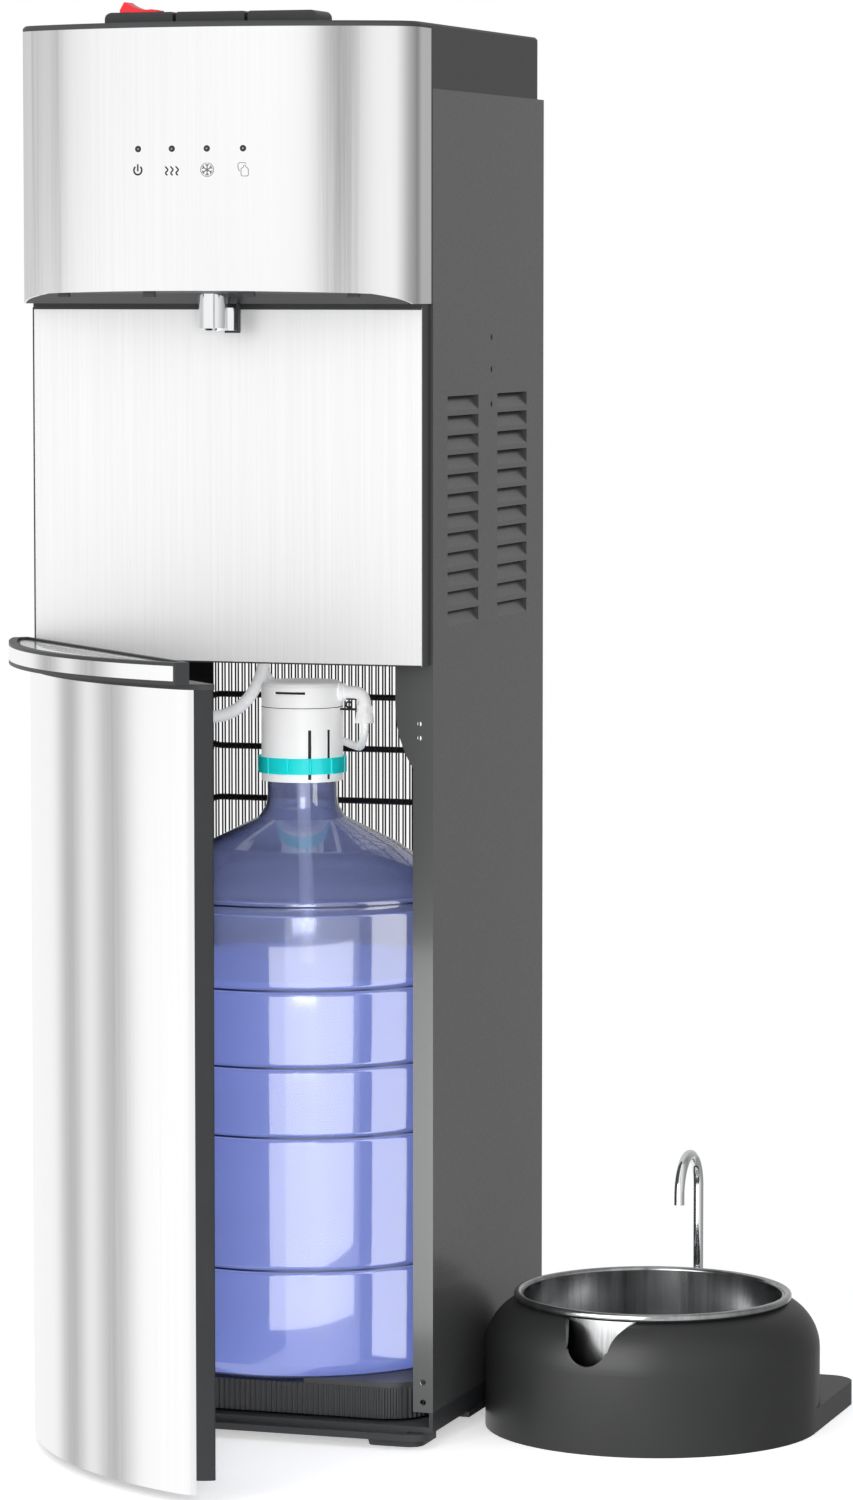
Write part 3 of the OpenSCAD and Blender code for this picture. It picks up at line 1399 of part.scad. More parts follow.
module door_liner() color("#303236") in_cabinet() in_door() {
    difference() {
        union() {
            difference() {
                raised(liner_z) linear_extrude(door_top - liner_z) liner_plan();
                raised(liner_step_z + wall) linear_extrude(door_top - liner_step_z - 2 * wall)
                    bow_plan(door_side, door_corner, -door_back - wall, steel_t + wall);
                // Shallow panel in the back, inside the rim
                translate([liner_rim - half_w, -door_back - thin_wall, liner_step_z + liner_rim])
                    cube([cab_w - 2 * liner_rim, thin_wall + over, door_top - liner_step_z - 2 * liner_rim]);
            }
            intersection() {
                raised(liner_step_z) linear_extrude(door_top - liner_step_z) liner_plan();
                translate([hinge_x, -hinge_y, 0]) {
                    raised(liner_step_z) cylinder(r = pin_d, h = pin_l + wall);
                    raised(upper_plate_z - wall - 2 * seat_gap) cylinder(r = notch_r + wall, h = wall);
                    raised(upper_plate_z + wall + 2 * seat_gap) cylinder(r = notch_r + wall, h = wall);
                    raised(upper_plate_z + wall) cylinder(r = pin_d, h = pin_l + wall);
                }
            }
        }
        translate([-cab_w, -liner_step_y, 0]) cube([2 * cab_w, cab_w, liner_step_z]);
        translate([hinge_x, -hinge_y, 0]) {
            raised(liner_step_z - over) cylinder(d = running(pin_d), h = pin_l + over);
            raised(upper_plate_z) cylinder(d = running(pin_d), h = wall + 2 * seat_gap + pin_l);
            raised(upper_plate_z - seat_gap * 2) cylinder(r = notch_r, h = wall + 4 * seat_gap);
        }
        translate([magnet_x, -door_back - magnet_t, magnet_z]) cube([magnet_w, magnet_t + over, magnet_h]);
    }
}

module door_skin() color("#d4d6d8") in_cabinet() in_door() raised(door_z) linear_extrude(door_top - door_z)
    intersection() {
        difference() {
            bow_plan(door_side, door_corner, 0);
            bow_plan(door_side, door_corner, 0, steel_t);
        }
        ahead_of(skin_stop);
    }

module door_magnet() color("#1a1a1a") in_cabinet() in_door()
    translate([magnet_x, -door_back - magnet_t, magnet_z]) cube([magnet_w, magnet_t, magnet_h]);

module ledge_plan(inset = 0, back = 0) {
    bow_plan(ledge_side, ledge_corner, -ledge_back - back, inset);
}

module tray_housing() color("#303236") in_cabinet() in_door() difference() {
    union() {
        raised(door_top) linear_extrude(lid_t) bow_plan(door_side, door_corner, -door_back);
        raised(ledge_z) linear_extrude(wall) ledge_plan();
        raised(ledge_z + wall) linear_extrude(band_h) {
            ledge_plan(steel_t);
            difference() {
                ledge_plan();
                ahead_of(ledge_side);
            }
        }
        raised(ledge_top - rim_t) linear_extrude(rim_t) ledge_plan();
    }
    raised(basin_z) linear_extrude(ledge_top - basin_z + over) ledge_plan(ledge_rim, wall);
}

module tray_band() color("#d0d2d4") in_cabinet() in_door() raised(ledge_z + wall) linear_extrude(band_h)
    intersection() {
        difference() {
            ledge_plan();
            ledge_plan(steel_t);
        }
        ahead_of(ledge_side);
    }

module tray_plan(inset = 0) {
    ledge_plan(ledge_rim + tray_gap + inset, wall + tray_gap + inset);
}

module drip_tray() color("#26282a") in_cabinet() in_door() {
    bottom = basin_z + seat_gap;
    difference() {
        raised(bottom) linear_extrude(tray_top - bottom) tray_plan();
        raised(bottom + thin_wall) linear_extrude(tray_top - bottom) tray_plan(thin_wall);
    }
    // Ribs that carry the grid
    intersection() {
        raised(bottom) linear_extrude(tray_top - thin_wall - bottom) tray_plan(thin_wall / 2);
        for (i = [-1 : 1]) translate([i * cab_w / 4 - thin_wall / 2, -cab_d, 0]) cube([thin_wall, cab_d, cab_h]);
    }
}

module drip_grid() color("#b9bcc0") in_cabinet() in_door() raised(tray_top - thin_wall) linear_extrude(thin_wall)
    difference() {
        tray_plan(thin_wall + seat_gap);
        for (i = [-grid_half : grid_half]) {
            x = i * slot_pitch;
            front = bow_y(x, ledge_side) + ledge_rim + 2 * slot_pitch;
            back = -ledge_back - slot_pitch - ledge_rim;
            if (back - front > slot_w) translate([x - slot_w / 2, front]) square([slot_w, back - front]);
        }
    }

// Drinking station

module at_bowl() {
    translate([pet_x, pet_y, 0]) children();
}

module housing_half(inset) {
    intersection() {
        union() {
            square([pet_r - inset, pet_wall_z]);
            square([pet_r - pet_shoulder, pet_wall_z + pet_shoulder - inset]);
            translate([pet_r - pet_shoulder, pet_wall_z]) circle(r = pet_shoulder - inset);
        }
        translate([0, inset > 0 ? 0 : pet_base_t]) square([pet_r, pet_wall_z + pet_shoulder]);
    }
}

module pet_housing() color("#3c3e41") in_cabinet() at_bowl() difference() {
    rotate_extrude($fn = bow_fn) difference() {
        housing_half(0);
        housing_half(wall);
        square([bowl_r + tray_gap, cab_h]);
    }
    rotate(-notch_pet_turn) upright(-pet_r - over, pet_r / 2) finger_notch();
    translate([hook_right, hook_back, pet_base_t]) cylinder(d = open_round(hook_d), h = hook_top_z);
}

module finger_notch() {
    bottom = rim_z - notch_pet_h;
    flare = pet_shoulder * 0.58;
    shoulder_top = pet_wall_z + pet_shoulder;
    translate([0, bottom + notch_pet_r]) circle(r = notch_pet_r);
    translate([-notch_pet_r, bottom + notch_pet_r]) square([2 * notch_pet_r, notch_pet_h]);
    difference() {
        translate([-notch_pet_r - flare, shoulder_top - flare]) square([2 * (notch_pet_r + flare), 2 * flare]);
        both_sides() translate([notch_pet_r + flare, shoulder_top - flare]) circle(r = flare);
    }
}

module pet_base_plate() color("#323437") in_cabinet() at_bowl() {
    linear_extrude(pet_base_t) {
        circle(r = pet_r, $fn = bow_fn);
        difference() {
            translate([-pet_r, 0]) square([2 * pet_r, pet_base_back]);
            both_sides() translate([pet_r - pet_base_corner, pet_base_back - pet_base_corner]) corner_rest(pet_base_corner);
        }
    }
    // Tongue that docks under the floor of the cabinet
    translate([-pet_r - foot_w, -pet_r / 2, foot_h - tongue_t]) cube([foot_w + over, pet_r * 0.8, tongue_t]);
}

module bowl_half(r, bottom, edge) {
    translate([0, bottom]) difference() {
        square([r, rim_z - bottom]);
        translate([r - edge, edge]) mirror([0, 1]) corner_rest(edge);
    }
}

module pet_bowl() color("#c4c7ca") in_cabinet() at_bowl() rotate_extrude($fn = bow_fn) {
    difference() {
        bowl_half(bowl_r, rim_z - bowl_depth, bowl_edge);
        translate([0, bowl_t]) bowl_half(bowl_r - bowl_t, rim_z - bowl_depth, bowl_edge - bowl_t);
    }
    translate([bowl_r - bowl_t, rim_z - bowl_t / 2]) square([bowl_roll + bowl_t, bowl_t]);
    translate([bowl_rim_r - bowl_roll, rim_z]) circle(r = bowl_roll);
}

module pet_spout() color("#c9ccd0") in_cabinet() at_bowl() translate([hook_right, hook_back, 0]) {
    bend_z = hook_top_z - hook_d / 2 - hook_bend;
    raised(pet_base_t) cylinder(d = hook_d, h = bend_z - pet_base_t);
    translate([0, -hook_bend, bend_z]) rotate([90, 0, 90]) quarter_bend(hook_bend, hook_d, 180);
    translate([0, -2 * hook_bend, hook_end_z]) cylinder(d = hook_d, h = bend_z - hook_end_z);
}

base_tray();
feet();
side_panel_left();
side_panel_right();
rear_panel();
mid_shelf();
tank_shelf();
top_cover();
head_wrap();
head_housing();
indicator_lenses();
control_board();
spout();
spout_bracket();
splash_panel();
splash_frame();
condenser_tube();
condenser_wires();
condenser_brackets();
bottle_tray();
bottle();
probe_cap();
probe_cap_lid();
probe_ring();
hose_elbow();
elbow_nut();
probe_tube();
supply_hose();
vent_tube();
hose_fittings();
compressor();
compressor_mounts();
cold_tank();
tank_insulation();
hot_tank();
water_pump();
solenoid_valves();
water_pipes();
drain_plug();
switch_plate();
hot_switch();
cold_switch();
cabinet_screws();
hinge_brackets();
hinge_pins();
door_liner();
door_skin();
door_magnet();
tray_housing();
tray_band();
drip_tray();
drip_grid();
hot_button();
room_button();
cold_button();
child_lock();
pet_housing();
pet_base_plate();
pet_bowl();
pet_spout();
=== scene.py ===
import json
import math

import bmesh
import bpy
from mathutils import Matrix, Vector


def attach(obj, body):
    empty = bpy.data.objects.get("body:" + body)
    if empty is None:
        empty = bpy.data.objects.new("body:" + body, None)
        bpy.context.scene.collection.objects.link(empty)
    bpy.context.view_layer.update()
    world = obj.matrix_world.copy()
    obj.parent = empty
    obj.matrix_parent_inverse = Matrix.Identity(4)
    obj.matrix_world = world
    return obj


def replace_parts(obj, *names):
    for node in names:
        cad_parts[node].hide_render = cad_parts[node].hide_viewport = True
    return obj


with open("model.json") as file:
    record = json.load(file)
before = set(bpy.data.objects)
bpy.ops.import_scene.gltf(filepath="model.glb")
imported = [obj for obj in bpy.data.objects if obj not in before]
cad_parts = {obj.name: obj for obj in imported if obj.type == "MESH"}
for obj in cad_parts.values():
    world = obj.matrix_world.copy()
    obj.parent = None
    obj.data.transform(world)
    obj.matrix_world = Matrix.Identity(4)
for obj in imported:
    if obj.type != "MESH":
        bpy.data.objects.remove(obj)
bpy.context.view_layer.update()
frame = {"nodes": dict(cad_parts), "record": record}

MM = 0.001
scene = bpy.context.scene
scene.view_settings.view_transform = "Standard"

# The frame starts under the right front foot; the cabinet is measured from its middle and its front plane
RIGHT_FOOT = Vector((118.5, 25, 0))


def place(x, y, z):
    """A point of the cabinet: millimetres from its middle, from its front plane and from the floor."""
    return (Vector((x, y, z)) - RIGHT_FOOT) * MM


# Camera, at the photograph's angle

CAMERA_SPOT = (1408.15, -3864.53, 861.8)
CAMERA_DIP = 0.0843
CAMERA_TURN = 0.3152
CAMERA_LENS = 134.14
SENSOR_W = 36

camera = bpy.data.objects.new("camera", bpy.data.cameras.new("camera"))
camera.location = place(*CAMERA_SPOT)
camera.rotation_euler = (math.pi / 2 - CAMERA_DIP, 0, CAMERA_TURN)
camera.data.lens = CAMERA_LENS
camera.data.sensor_width = SENSOR_W
scene.collection.objects.link(camera)
scene.camera = camera


ROUND_ANGLE = 60


def link(name, mesh_or_bmesh):
    """A new piece from a mesh or a bmesh."""
    mesh = mesh_or_bmesh
    if isinstance(mesh, bmesh.types.BMesh):
        built = mesh
        mesh = bpy.data.meshes.new(name)
        built.to_mesh(mesh)
        built.free()
    piece = bpy.data.objects.new(name, mesh)
    scene.collection.objects.link(piece)
    return piece


def smooth(piece, angle=35):
    """Smooth faces, with edges left sharp past an angle in degrees."""
    for face in piece.data.polygons:
        face.use_smooth = True
    piece.data.set_sharp_from_angle(angle=math.radians(angle))
    return piece


def through(points, steps):
    """Points of one smooth curve through the route's points."""
    ends = [2 * points[0] - points[1], *points, 2 * points[-1] - points[-2]]
    way = []
    for a, b, c, d in zip(ends, ends[1:], ends[2:], ends[3:]):
        for step in range(steps):
            t = step / steps
            way.append(0.5 * (2 * b + (c - a) * t + (2 * a - 5 * b + 4 * c - d) * t ** 2
                              + (3 * b - a - 3 * c + d) * t ** 3))
    return way + [points[-1]]


TUBE_ROUNDNESS = 5


def tube(name, way, diameter):
    """A capped tube along a way, as a mesh."""
    curve = bpy.data.curves.new(name, "CURVE")
    curve.dimensions = "3D"
    curve.bevel_depth = diameter / 2
    curve.bevel_resolution = TUBE_ROUNDNESS
    curve.use_fill_caps = True
    spline = curve.splines.new("POLY")
    spline.points.add(len(way) - 1)
    for point, spot in zip(spline.points, way):
        point.co = (*spot, 1)
    spline.use_smooth = True
    drawn = bpy.data.objects.new(name + "_curve", curve)
    mesh = bpy.data.meshes.new_from_object(drawn)
    bpy.data.objects.remove(drawn)
    bpy.data.curves.remove(curve)
    return mesh


# Hoses of the bay, on the routes of their CAD solids: the supply hose hangs between two ceiling fittings,
# the vent tube runs from the elbow's nut round behind the cap to the ceiling
SUPPLY_ROUTE = [(-28, 140, 582), (-28, 140, 570), (-34, 146, 556), (-44, 149, 541), (-58, 150, 530),
                (-76, 150, 526), (-94, 154, 531), (-106, 162, 546), (-111, 170, 562), (-112, 172, 570),
                (-112, 172, 582)]
VENT_ROUTE = [(56, 131, 526), (56, 131, 519), (50, 142, 509), (38, 166, 505), (16, 182, 510), (-6, 185, 522),
              (-26, 180, 541), (-39, 172, 561), (-42, 170, 574), (-42, 170, 582)]
SUPPLY_D = 9.5
VENT_D = 6
ROUTE_STEPS = 3
HOSES = {"supply_hose": (SUPPLY_ROUTE, SUPPLY_D * MM, "stiff"),
         "vent_tube": (VENT_ROUTE, VENT_D * MM, "medium")}

hoses = {}
for node, (route, diameter, stiffness) in HOSES.items():
    way = through([place(*spot) for spot in route], ROUTE_STEPS)
    name = node.replace("_", "_smooth_", 1)
    hose = smooth(link(name, tube(name, way, diameter)), ROUND_ANGLE)
    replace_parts(hose, node)
    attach(hose, "cabinet")
    hoses[node] = hose

# Finishes

NOISE_LOW = 0.3
NOISE_HIGH = 0.7
# Painted light: the white plastic and the white hose glow faintly, though they are no lamp, to keep them
# bright white
PAINTED_GLOW_WHITE = dict(Emission_Color=(1, 1, 1, 1), Emission_Strength=0.24)


def new_material(name, colour, roughness, metallic=0.0, **sockets):
    """A plain finish; further sockets are given by their names, with underscores for spaces."""
    material = bpy.data.materials.new(name)
    material.use_nodes = True
    shader = material.node_tree.nodes["Principled BSDF"]
    shader.inputs["Base Color"].default_value = (*colour, 1)
    shader.inputs["Roughness"].default_value = roughness
    shader.inputs["Metallic"].default_value = metallic
    for socket, value in sockets.items():
        shader.inputs[socket.replace("_", " ")].default_value = value
    return material


def noise(material, scale, stretch=(1, 1, 1), detail=3.0, roughness=0.55):
    """Noise on Object coordinates, drawn out along an axis where its stretch is small."""
    nodes, links = material.node_tree.nodes, material.node_tree.links
    place_on = nodes.new("ShaderNodeTexCoord")
    mapping = nodes.new("ShaderNodeMapping")
    mapping.inputs["Scale"].default_value = stretch
    pattern = nodes.new("ShaderNodeTexNoise")
    pattern.inputs["Scale"].default_value = scale
    pattern.inputs["Detail"].default_value = detail
    pattern.inputs["Roughness"].default_value = roughness
    links.new(place_on.outputs["Object"], mapping.inputs["Vector"])
    links.new(mapping.outputs["Vector"], pattern.inputs["Vector"])
    return pattern.outputs["Fac"]


def spread(material, factor, low, high):
    """Maps a pattern from its middle range to a range of values."""
    span = material.node_tree.nodes.new("ShaderNodeMapRange")
    span.inputs["From Min"].default_value = NOISE_LOW
    span.inputs["From Max"].default_value = NOISE_HIGH
    span.inputs["To Min"].default_value = low
    span.inputs["To Max"].default_value = high
    material.node_tree.links.new(factor, span.inputs["Value"])
    return span.outputs["Result"]


def shade(material, factor, dark, light):
    """Colours a pattern between two colours."""
    blend = material.node_tree.nodes.new("ShaderNodeMix")
    blend.data_type = "RGBA"
    blend.inputs["A"].default_value = (*dark, 1)
    blend.inputs["B"].default_value = (*light, 1)
    material.node_tree.links.new(factor, blend.inputs["Factor"])
    shader = material.node_tree.nodes["Principled BSDF"]
    material.node_tree.links.new(blend.outputs["Result"], shader.inputs["Base Color"])


def rough(material, factor, low, high):
    """Lets a pattern vary the roughness."""
    shader = material.node_tree.nodes["Principled BSDF"]
    material.node_tree.links.new(spread(material, factor, low, high), shader.inputs["Roughness"])


def bumpy(material, factor, strength, depth):
    """Lets a pattern stand out of the surface, by a depth in metres."""
    bump = material.node_tree.nodes.new("ShaderNodeBump")
    bump.inputs["Strength"].default_value = strength
    bump.inputs["Distance"].default_value = depth
    shader = material.node_tree.nodes["Principled BSDF"]
    material.node_tree.links.new(factor, bump.inputs["Height"])
    material.node_tree.links.new(bump.outputs["Normal"], shader.inputs["Normal"])


def tinted(colour, share):
    """A colour at a share of its brightness."""
    return tuple(channel * share for channel in colour)


def moulded(name, colour, roughness, grain=2600, depth=0.00004, mottle=0.1, swing=0.06, relief=0.25,
            broader=60, **sockets):
    """Plastic with a fine spark-eroded grain over a broader mottle."""
    material = new_material(name, colour, roughness, **sockets)
    fine = noise(material, grain)
    broad = noise(material, grain / broader)
    shade(material, broad, tinted(colour, 1 - mottle), tinted(colour, 1 + mottle))
    rough(material, fine, roughness - swing, roughness + swing)
    bumpy(material, fine, relief, depth)
    return material


def painted(name, colour, roughness, peel=500, depth=0.00003, coat=0.0, coat_roughness=0.18,
            mottle=0.06, smoother=0.04, rougher=0.05, relief=0.2, broader=100):
    """Powder-coated sheet with a soft orange peel."""
    material = new_material(name, colour, roughness, Coat_Weight=coat, Coat_Roughness=coat_roughness)
    ripples = noise(material, peel)
    broad = noise(material, peel / broader)
    shade(material, broad, tinted(colour, 1 - mottle), tinted(colour, 1 + mottle))
    rough(material, ripples, roughness - smoother, roughness + rougher)
    bumpy(material, ripples, relief, depth)
    return material


def brushed(name, colour, roughness, metallic=1.0, along=(1, 1, 0.008), pitch=420, contrast=0.06,
            smoother=0.03, rougher=0.04, relief=0.04, depth=0.00001):
    """Steel with fine brush lines drawn out along one axis."""
    material = new_material(name, colour, roughness, metallic=metallic)
    lines = noise(material, pitch, along, detail=5, roughness=0.7)
    shade(material, lines, tinted(colour, 1 - contrast), tinted(colour, 1 + contrast))
    rough(material, lines, roughness - smoother, roughness + rougher)
    bumpy(material, lines, relief, depth)
    return material


def polished(name, colour, roughness, pitch=60, dimmed=0.05, smoother=0.03, rougher=0.05, smoothest=0.02):
    """Plated or polished steel with faint wear in its gloss."""
    material = new_material(name, colour, roughness, metallic=1.0)
    smears = noise(material, pitch)
    shade(material, smears, tinted(colour, 1 - dimmed), colour)
    rough(material, smears, max(smoothest, roughness - smoother), roughness + rougher)
    return material


def glossy(name, colour, roughness=0.22, pitch=40, dimmed=0.06, smoother=0.04, rougher=0.06, **sockets):
    """Smooth plastic, board or lens with a faint unevenness."""
    material = new_material(name, colour, roughness, **sockets)
    broad = noise(material, pitch)
    shade(material, broad, tinted(colour, 1 - dimmed), colour)
    rough(material, broad, roughness - smoother, roughness + rougher)
    return material


def clear(name, colour, roughness, ior, share=1.0, pitch=18, rougher=0.03, **sockets):
    """Clear plastic or water: the share of light that passes through it, and a faint haze."""
    material = new_material(name, colour, roughness, Transmission_Weight=share, IOR=ior, **sockets)
    waves = noise(material, pitch)
    rough(material, waves, roughness, roughness + rougher)
    return material


finishes = {
    "black_plastic": moulded("black_plastic", (0.016, 0.017, 0.019), 0.5),
    "dark_plastic": moulded("dark_plastic", (0.026, 0.027, 0.029), 0.45),
    "cover_plastic": moulded("cover_plastic", (0.038, 0.039, 0.04), 0.48),
    "button_plastic": moulded("button_plastic", (0.022, 0.023, 0.025), 0.4),
    "grey_paint": painted("grey_paint", (0.042, 0.043, 0.044), 0.42, coat=0.5),
    "dark_paint": painted("dark_paint", (0.03, 0.031, 0.033), 0.45),
    "black_paint": painted("black_paint", (0.008, 0.008, 0.009), 0.35),
    "brushed_steel": brushed("brushed_steel", (0.9, 0.9, 0.905), 0.15),
    "bowl_steel": brushed("bowl_steel", (0.4, 0.405, 0.41), 0.2, along=(1, 1, 0.05), pitch=75, contrast=0.6),
    "tank_steel": polished("tank_steel", (0.55, 0.56, 0.57), 0.3),
    "zinc_steel": polished("zinc_steel", (0.6, 0.61, 0.63), 0.3),
    "chrome": polished("chrome", (0.86, 0.87, 0.88), 0.08),
    "blue_bottle": clear("blue_bottle", (0.56, 0.61, 0.86), 0.1, 1.45, share=0.86,
                         Coat_Weight=1.0, Coat_Roughness=0.05),
    "clear_lens": glossy("clear_lens", (0.01, 0.01, 0.013), 0.25),
    "green_board": glossy("green_board", (0.02, 0.16, 0.05), 0.3),
    "teal_plastic": glossy("teal_plastic", (0.012, 0.92, 0.92), 0.35),
    "red_plastic": glossy("red_plastic", (0.72, 0.012, 0.02), 0.3),
    "blue_plastic": glossy("blue_plastic", (0.02, 0.16, 0.5), 0.3),
    "white_plastic": glossy("white_plastic", (0.9, 0.9, 0.9), 0.3, **PAINTED_GLOW_WHITE),
    "white_hose": glossy("white_hose", (0.86, 0.87, 0.87), 0.3, **PAINTED_GLOW_WHITE),
    "mount_rubber": moulded("mount_rubber", (0.02, 0.02, 0.02), 0.7),
    "foam": moulded("foam", (0.75, 0.72, 0.6), 0.9, grain=900, depth=0.0004),
    "magnet": moulded("magnet", (0.015, 0.015, 0.015), 0.6),
}
splash_steel = brushed("splash_steel", (0.71, 0.71, 0.714), 0.36, metallic=0.4, contrast=0.11)
liner_plastic = moulded("liner_plastic", (0.03, 0.031, 0.032), 0.7, Specular_IOR_Level=0.15)
pet_plastic = moulded("pet_plastic", (0.017, 0.0175, 0.018), 0.45, Specular_IOR_Level=0.4)
OWN_FINISHES = {"splash_panel": splash_steel, "door_liner": liner_plastic, "pet_housing": pet_plastic,
                "pet_base_plate": pet_plastic}
# Painted light: the water glows faintly blue, though it is no lamp, so that it stays bright deep in the dark
# bay
water_painted_glow = clear("water", (0.62, 0.68, 0.93), 0.35, 1.2, share=0.6, Emission_Color=(0.38, 0.46, 0.8, 1),
                    Emission_Strength=0.3)

SLOTS = {row["node"]: row["material_slot"] for row in frame["record"]["subparts"]}
for name, node in frame["nodes"].items():
    node.data.materials.clear()
    node.data.materials.append(OWN_FINISHES.get(name) or finishes[SLOTS[name]])
for hose in hoses.values():
    hose.data.materials.clear()
    hose.data.materials.append(finishes["white_hose"])


def finished(piece, slot, body="cabinet", material=None):
    """Gives a new piece its finish, the one of the named slot unless a material is given, and its body."""
    piece.data.materials.append(material or finishes[slot])
    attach(piece, body)
    return piece


# Bottle and water

BOTTLE = dict(x=6, y=131, z=42, r=127, height=458, wall=2, mouth=26.5,
              groove=2.5, groove_w=6, edge=12, neck=30, shoulder=82)
GROOVE_SHARES = (0.182, 0.4, 0.514, 0.64)
BOTTOM_EASE = 0.3
SHOULDER_MIDDLE = 0.56
# Points of the shoulder: shares of the bottle's radius, and of the shoulder's height up from its middle
SHOULDER_STEPS = ((1, -0.41), (0.955, -0.36), (0.955, -0.3), (0.93, -0.27))
SHOULDER_SLOPE = ((0.79, -0.11), (0.58, 0.11), (0.26, 0.36))
NECK_FLARE = 1
NECK_FOOT = 1.25
SHELL_ROUNDING = 1.5
WATER_ROUNDING = 1.0
WATER_GAP = 0.15
WATER_Z = 342


def bottle_profile(inset):
    """Half section of the bottle, its outside or, with the wall as inset, its inside."""
    b = BOTTLE
    r, h = b["r"], b["height"]
    shoulder_z = h - b["neck"] - b["shoulder"] * SHOULDER_MIDDLE
    eased = b["edge"] * BOTTOM_EASE
    points = [(0, inset), (r - b["edge"], inset),
              (r - eased - inset * (1 - BOTTOM_EASE), eased + inset * BOTTOM_EASE), (r - inset, b["edge"])]
    for share in GROOVE_SHARES:
        z = share * h
        points += [(r - inset, z - b["groove_w"] / 2), (r - b["groove"] - inset, z - b["groove_w"] / 6),
                   (r - b["groove"] - inset, z + b["groove_w"] / 6), (r - inset, z + b["groove_w"] / 2)]
    s = b["shoulder"]
    points += [(r * share - inset, shoulder_z + s * rise) for share, rise in SHOULDER_STEPS]
    points += [(r * share, shoulder_z + s * rise - inset) for share, rise in SHOULDER_SLOPE]
    points += [(b["mouth"] + NECK_FLARE - inset, h - b["neck"] * NECK_FOOT - inset),
               (b["mouth"] - inset, h - b["neck"]), (b["mouth"] - inset, h)]
    return points


WELD = 1e-6
FINE_WELD = 1e-7


def turned(profile, axis, segments=128, rounding=0.0):
    """Spins a half section about an upright axis."""
    bm = bmesh.new()
    corners = [bm.verts.new(axis + Vector((r, 0, z)) * MM) for r, z in profile]
    for a, b in zip(corners, corners[1:]):
        bm.edges.new((a, b))
    if rounding:
        inner = corners[1:-1]
        bmesh.ops.bevel(bm, geom=inner, offset=rounding * MM, offset_type="OFFSET", segments=3, profile=0.5,
                        affect="VERTICES", clamp_overlap=True, material=-1)
    bmesh.ops.spin(bm, geom=bm.verts[:] + bm.edges[:], cent=axis, axis=(0, 0, 1), angle=2 * math.pi,
                   steps=segments, use_merge=True)
    bmesh.ops.remove_doubles(bm, verts=bm.verts, dist=WELD)
    bmesh.ops.recalc_face_normals(bm, faces=bm.faces)
    return bm


bottle_axis = place(BOTTLE["x"], BOTTLE["y"], BOTTLE["z"])
outside = bottle_profile(0)
inside = bottle_profile(BOTTLE["wall"])
shell = link("bottle_shell", turned(outside + inside[::-1], bottle_axis, rounding=SHELL_ROUNDING))
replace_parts(smooth(shell, ROUND_ANGLE), "bottle")
finished(shell, "blue_bottle")

level = WATER_Z - BOTTLE["z"]
wet = [(r - WATER_GAP, z + WATER_GAP) for r, z in inside if z < level]
wet_profile = [(0, wet[0][1])] + wet[1:] + [(wet[-1][0], level), (0, level)]
water = link("bottle_water", turned(wet_profile, bottle_axis, rounding=WATER_ROUNDING))
finished(smooth(water, ROUND_ANGLE), "blue_bottle", material=water_painted_glow)

# Painted shade: dark rings in the grooves, and one in the step at the foot of the shoulder, standing in for
# the dark edges the grooves show
SHOULDER_STEP = (0.955, 0.33)
LINE_LIFT, LINE_DEPTH, LINE_H = 0.3, 0.6, 1.4


def step_z(share):
    """Height of a place on the bottle's shoulder, down from its middle by a share of the shoulder."""
    return BOTTLE["height"] - BOTTLE["neck"] - BOTTLE["shoulder"] * (SHOULDER_MIDDLE + share)


grooves = [(BOTTLE["r"] - BOTTLE["groove"], share * BOTTLE["height"]) for share in GROOVE_SHARES]
grooves.append((BOTTLE["r"] * SHOULDER_STEP[0], step_z(SHOULDER_STEP[1])))
painted_groove_shades = bmesh.new()
for r, z in grooves:
    near, far = r + LINE_LIFT, r + LINE_LIFT + LINE_DEPTH
    low, high = z - LINE_H / 2, z + LINE_H / 2
    hoop = turned([(near, low), (far, low), (far, high), (near, high), (near, low)], bottle_axis)
    hoop_mesh = bpy.data.meshes.new("groove_line")
    hoop.to_mesh(hoop_mesh)
    hoop.free()
    painted_groove_shades.from_mesh(hoop_mesh)
    bpy.data.meshes.remove(hoop_mesh)
finished(smooth(link("bottle_painted_groove_shades", painted_groove_shades)), "blue_bottle",
         material=glossy("groove_shade", (0.012, 0.018, 0.06), 0.35))

# Marks printed on the head, below its four lamps

HEAD_SIDE = 42
HEAD_BOW = 40
HEAD_BOW_R = 312.6
LAMP_X = (-44.8, -17.9, 9.0, 35.9)
LAMP_Z = 954.2
LAMP_PROUD = 0.4
MARK_Z = 939.0
MARK_NUDGES = (-0.4, 0, 0.2, 0.4)
INK = 0.06
DOT_R = 0.8
DOT_TIP_R = 0.6
DOT_H = 0.1


def head_front(x):
    """Y of the head's bowed front at a distance from its middle."""
    return HEAD_BOW_R - HEAD_SIDE - HEAD_BOW - math.sqrt(HEAD_BOW_R ** 2 - x ** 2)


def arc(x, z, r, start, end, steps=20):
    """Points of an arc between two turns in degrees, clockwise from the top."""
    turns = [math.radians(start + (end - start) * step / steps) for step in range(steps + 1)]
    return [(x + r * math.sin(turn), z + r * math.cos(turn)) for turn in turns]


def printed(name, strokes, middle, ink):
    """Ink lines laid on the head: each stroke is a line width and the points of its way."""
    lines = bmesh.new()
    for width, way in strokes:
        line = tube(name + "_line", [Vector((x, 0, z)) * MM for x, z in way], width * MM)
        lines.from_mesh(line)
        bpy.data.meshes.remove(line)
    for corner in lines.verts:
        x = corner.co.x / MM + middle
        lift = max(-INK, min(INK, corner.co.y / MM))
        corner.co = place(x, head_front(x) - INK + lift, MARK_Z + corner.co.z / MM)
    bmesh.ops.recalc_face_normals(lines, faces=lines.faces)
    return finished(smooth(link(name, lines)), "black_plastic", material=ink)


dark_ink = moulded("dark_ink", (0.008, 0.008, 0.009), 0.5)
grey_ink = moulded("grey_ink", (0.1, 0.1, 0.102), 0.5)
mark_x = [lamp + nudge for lamp, nudge in zip(LAMP_X, MARK_NUDGES)]

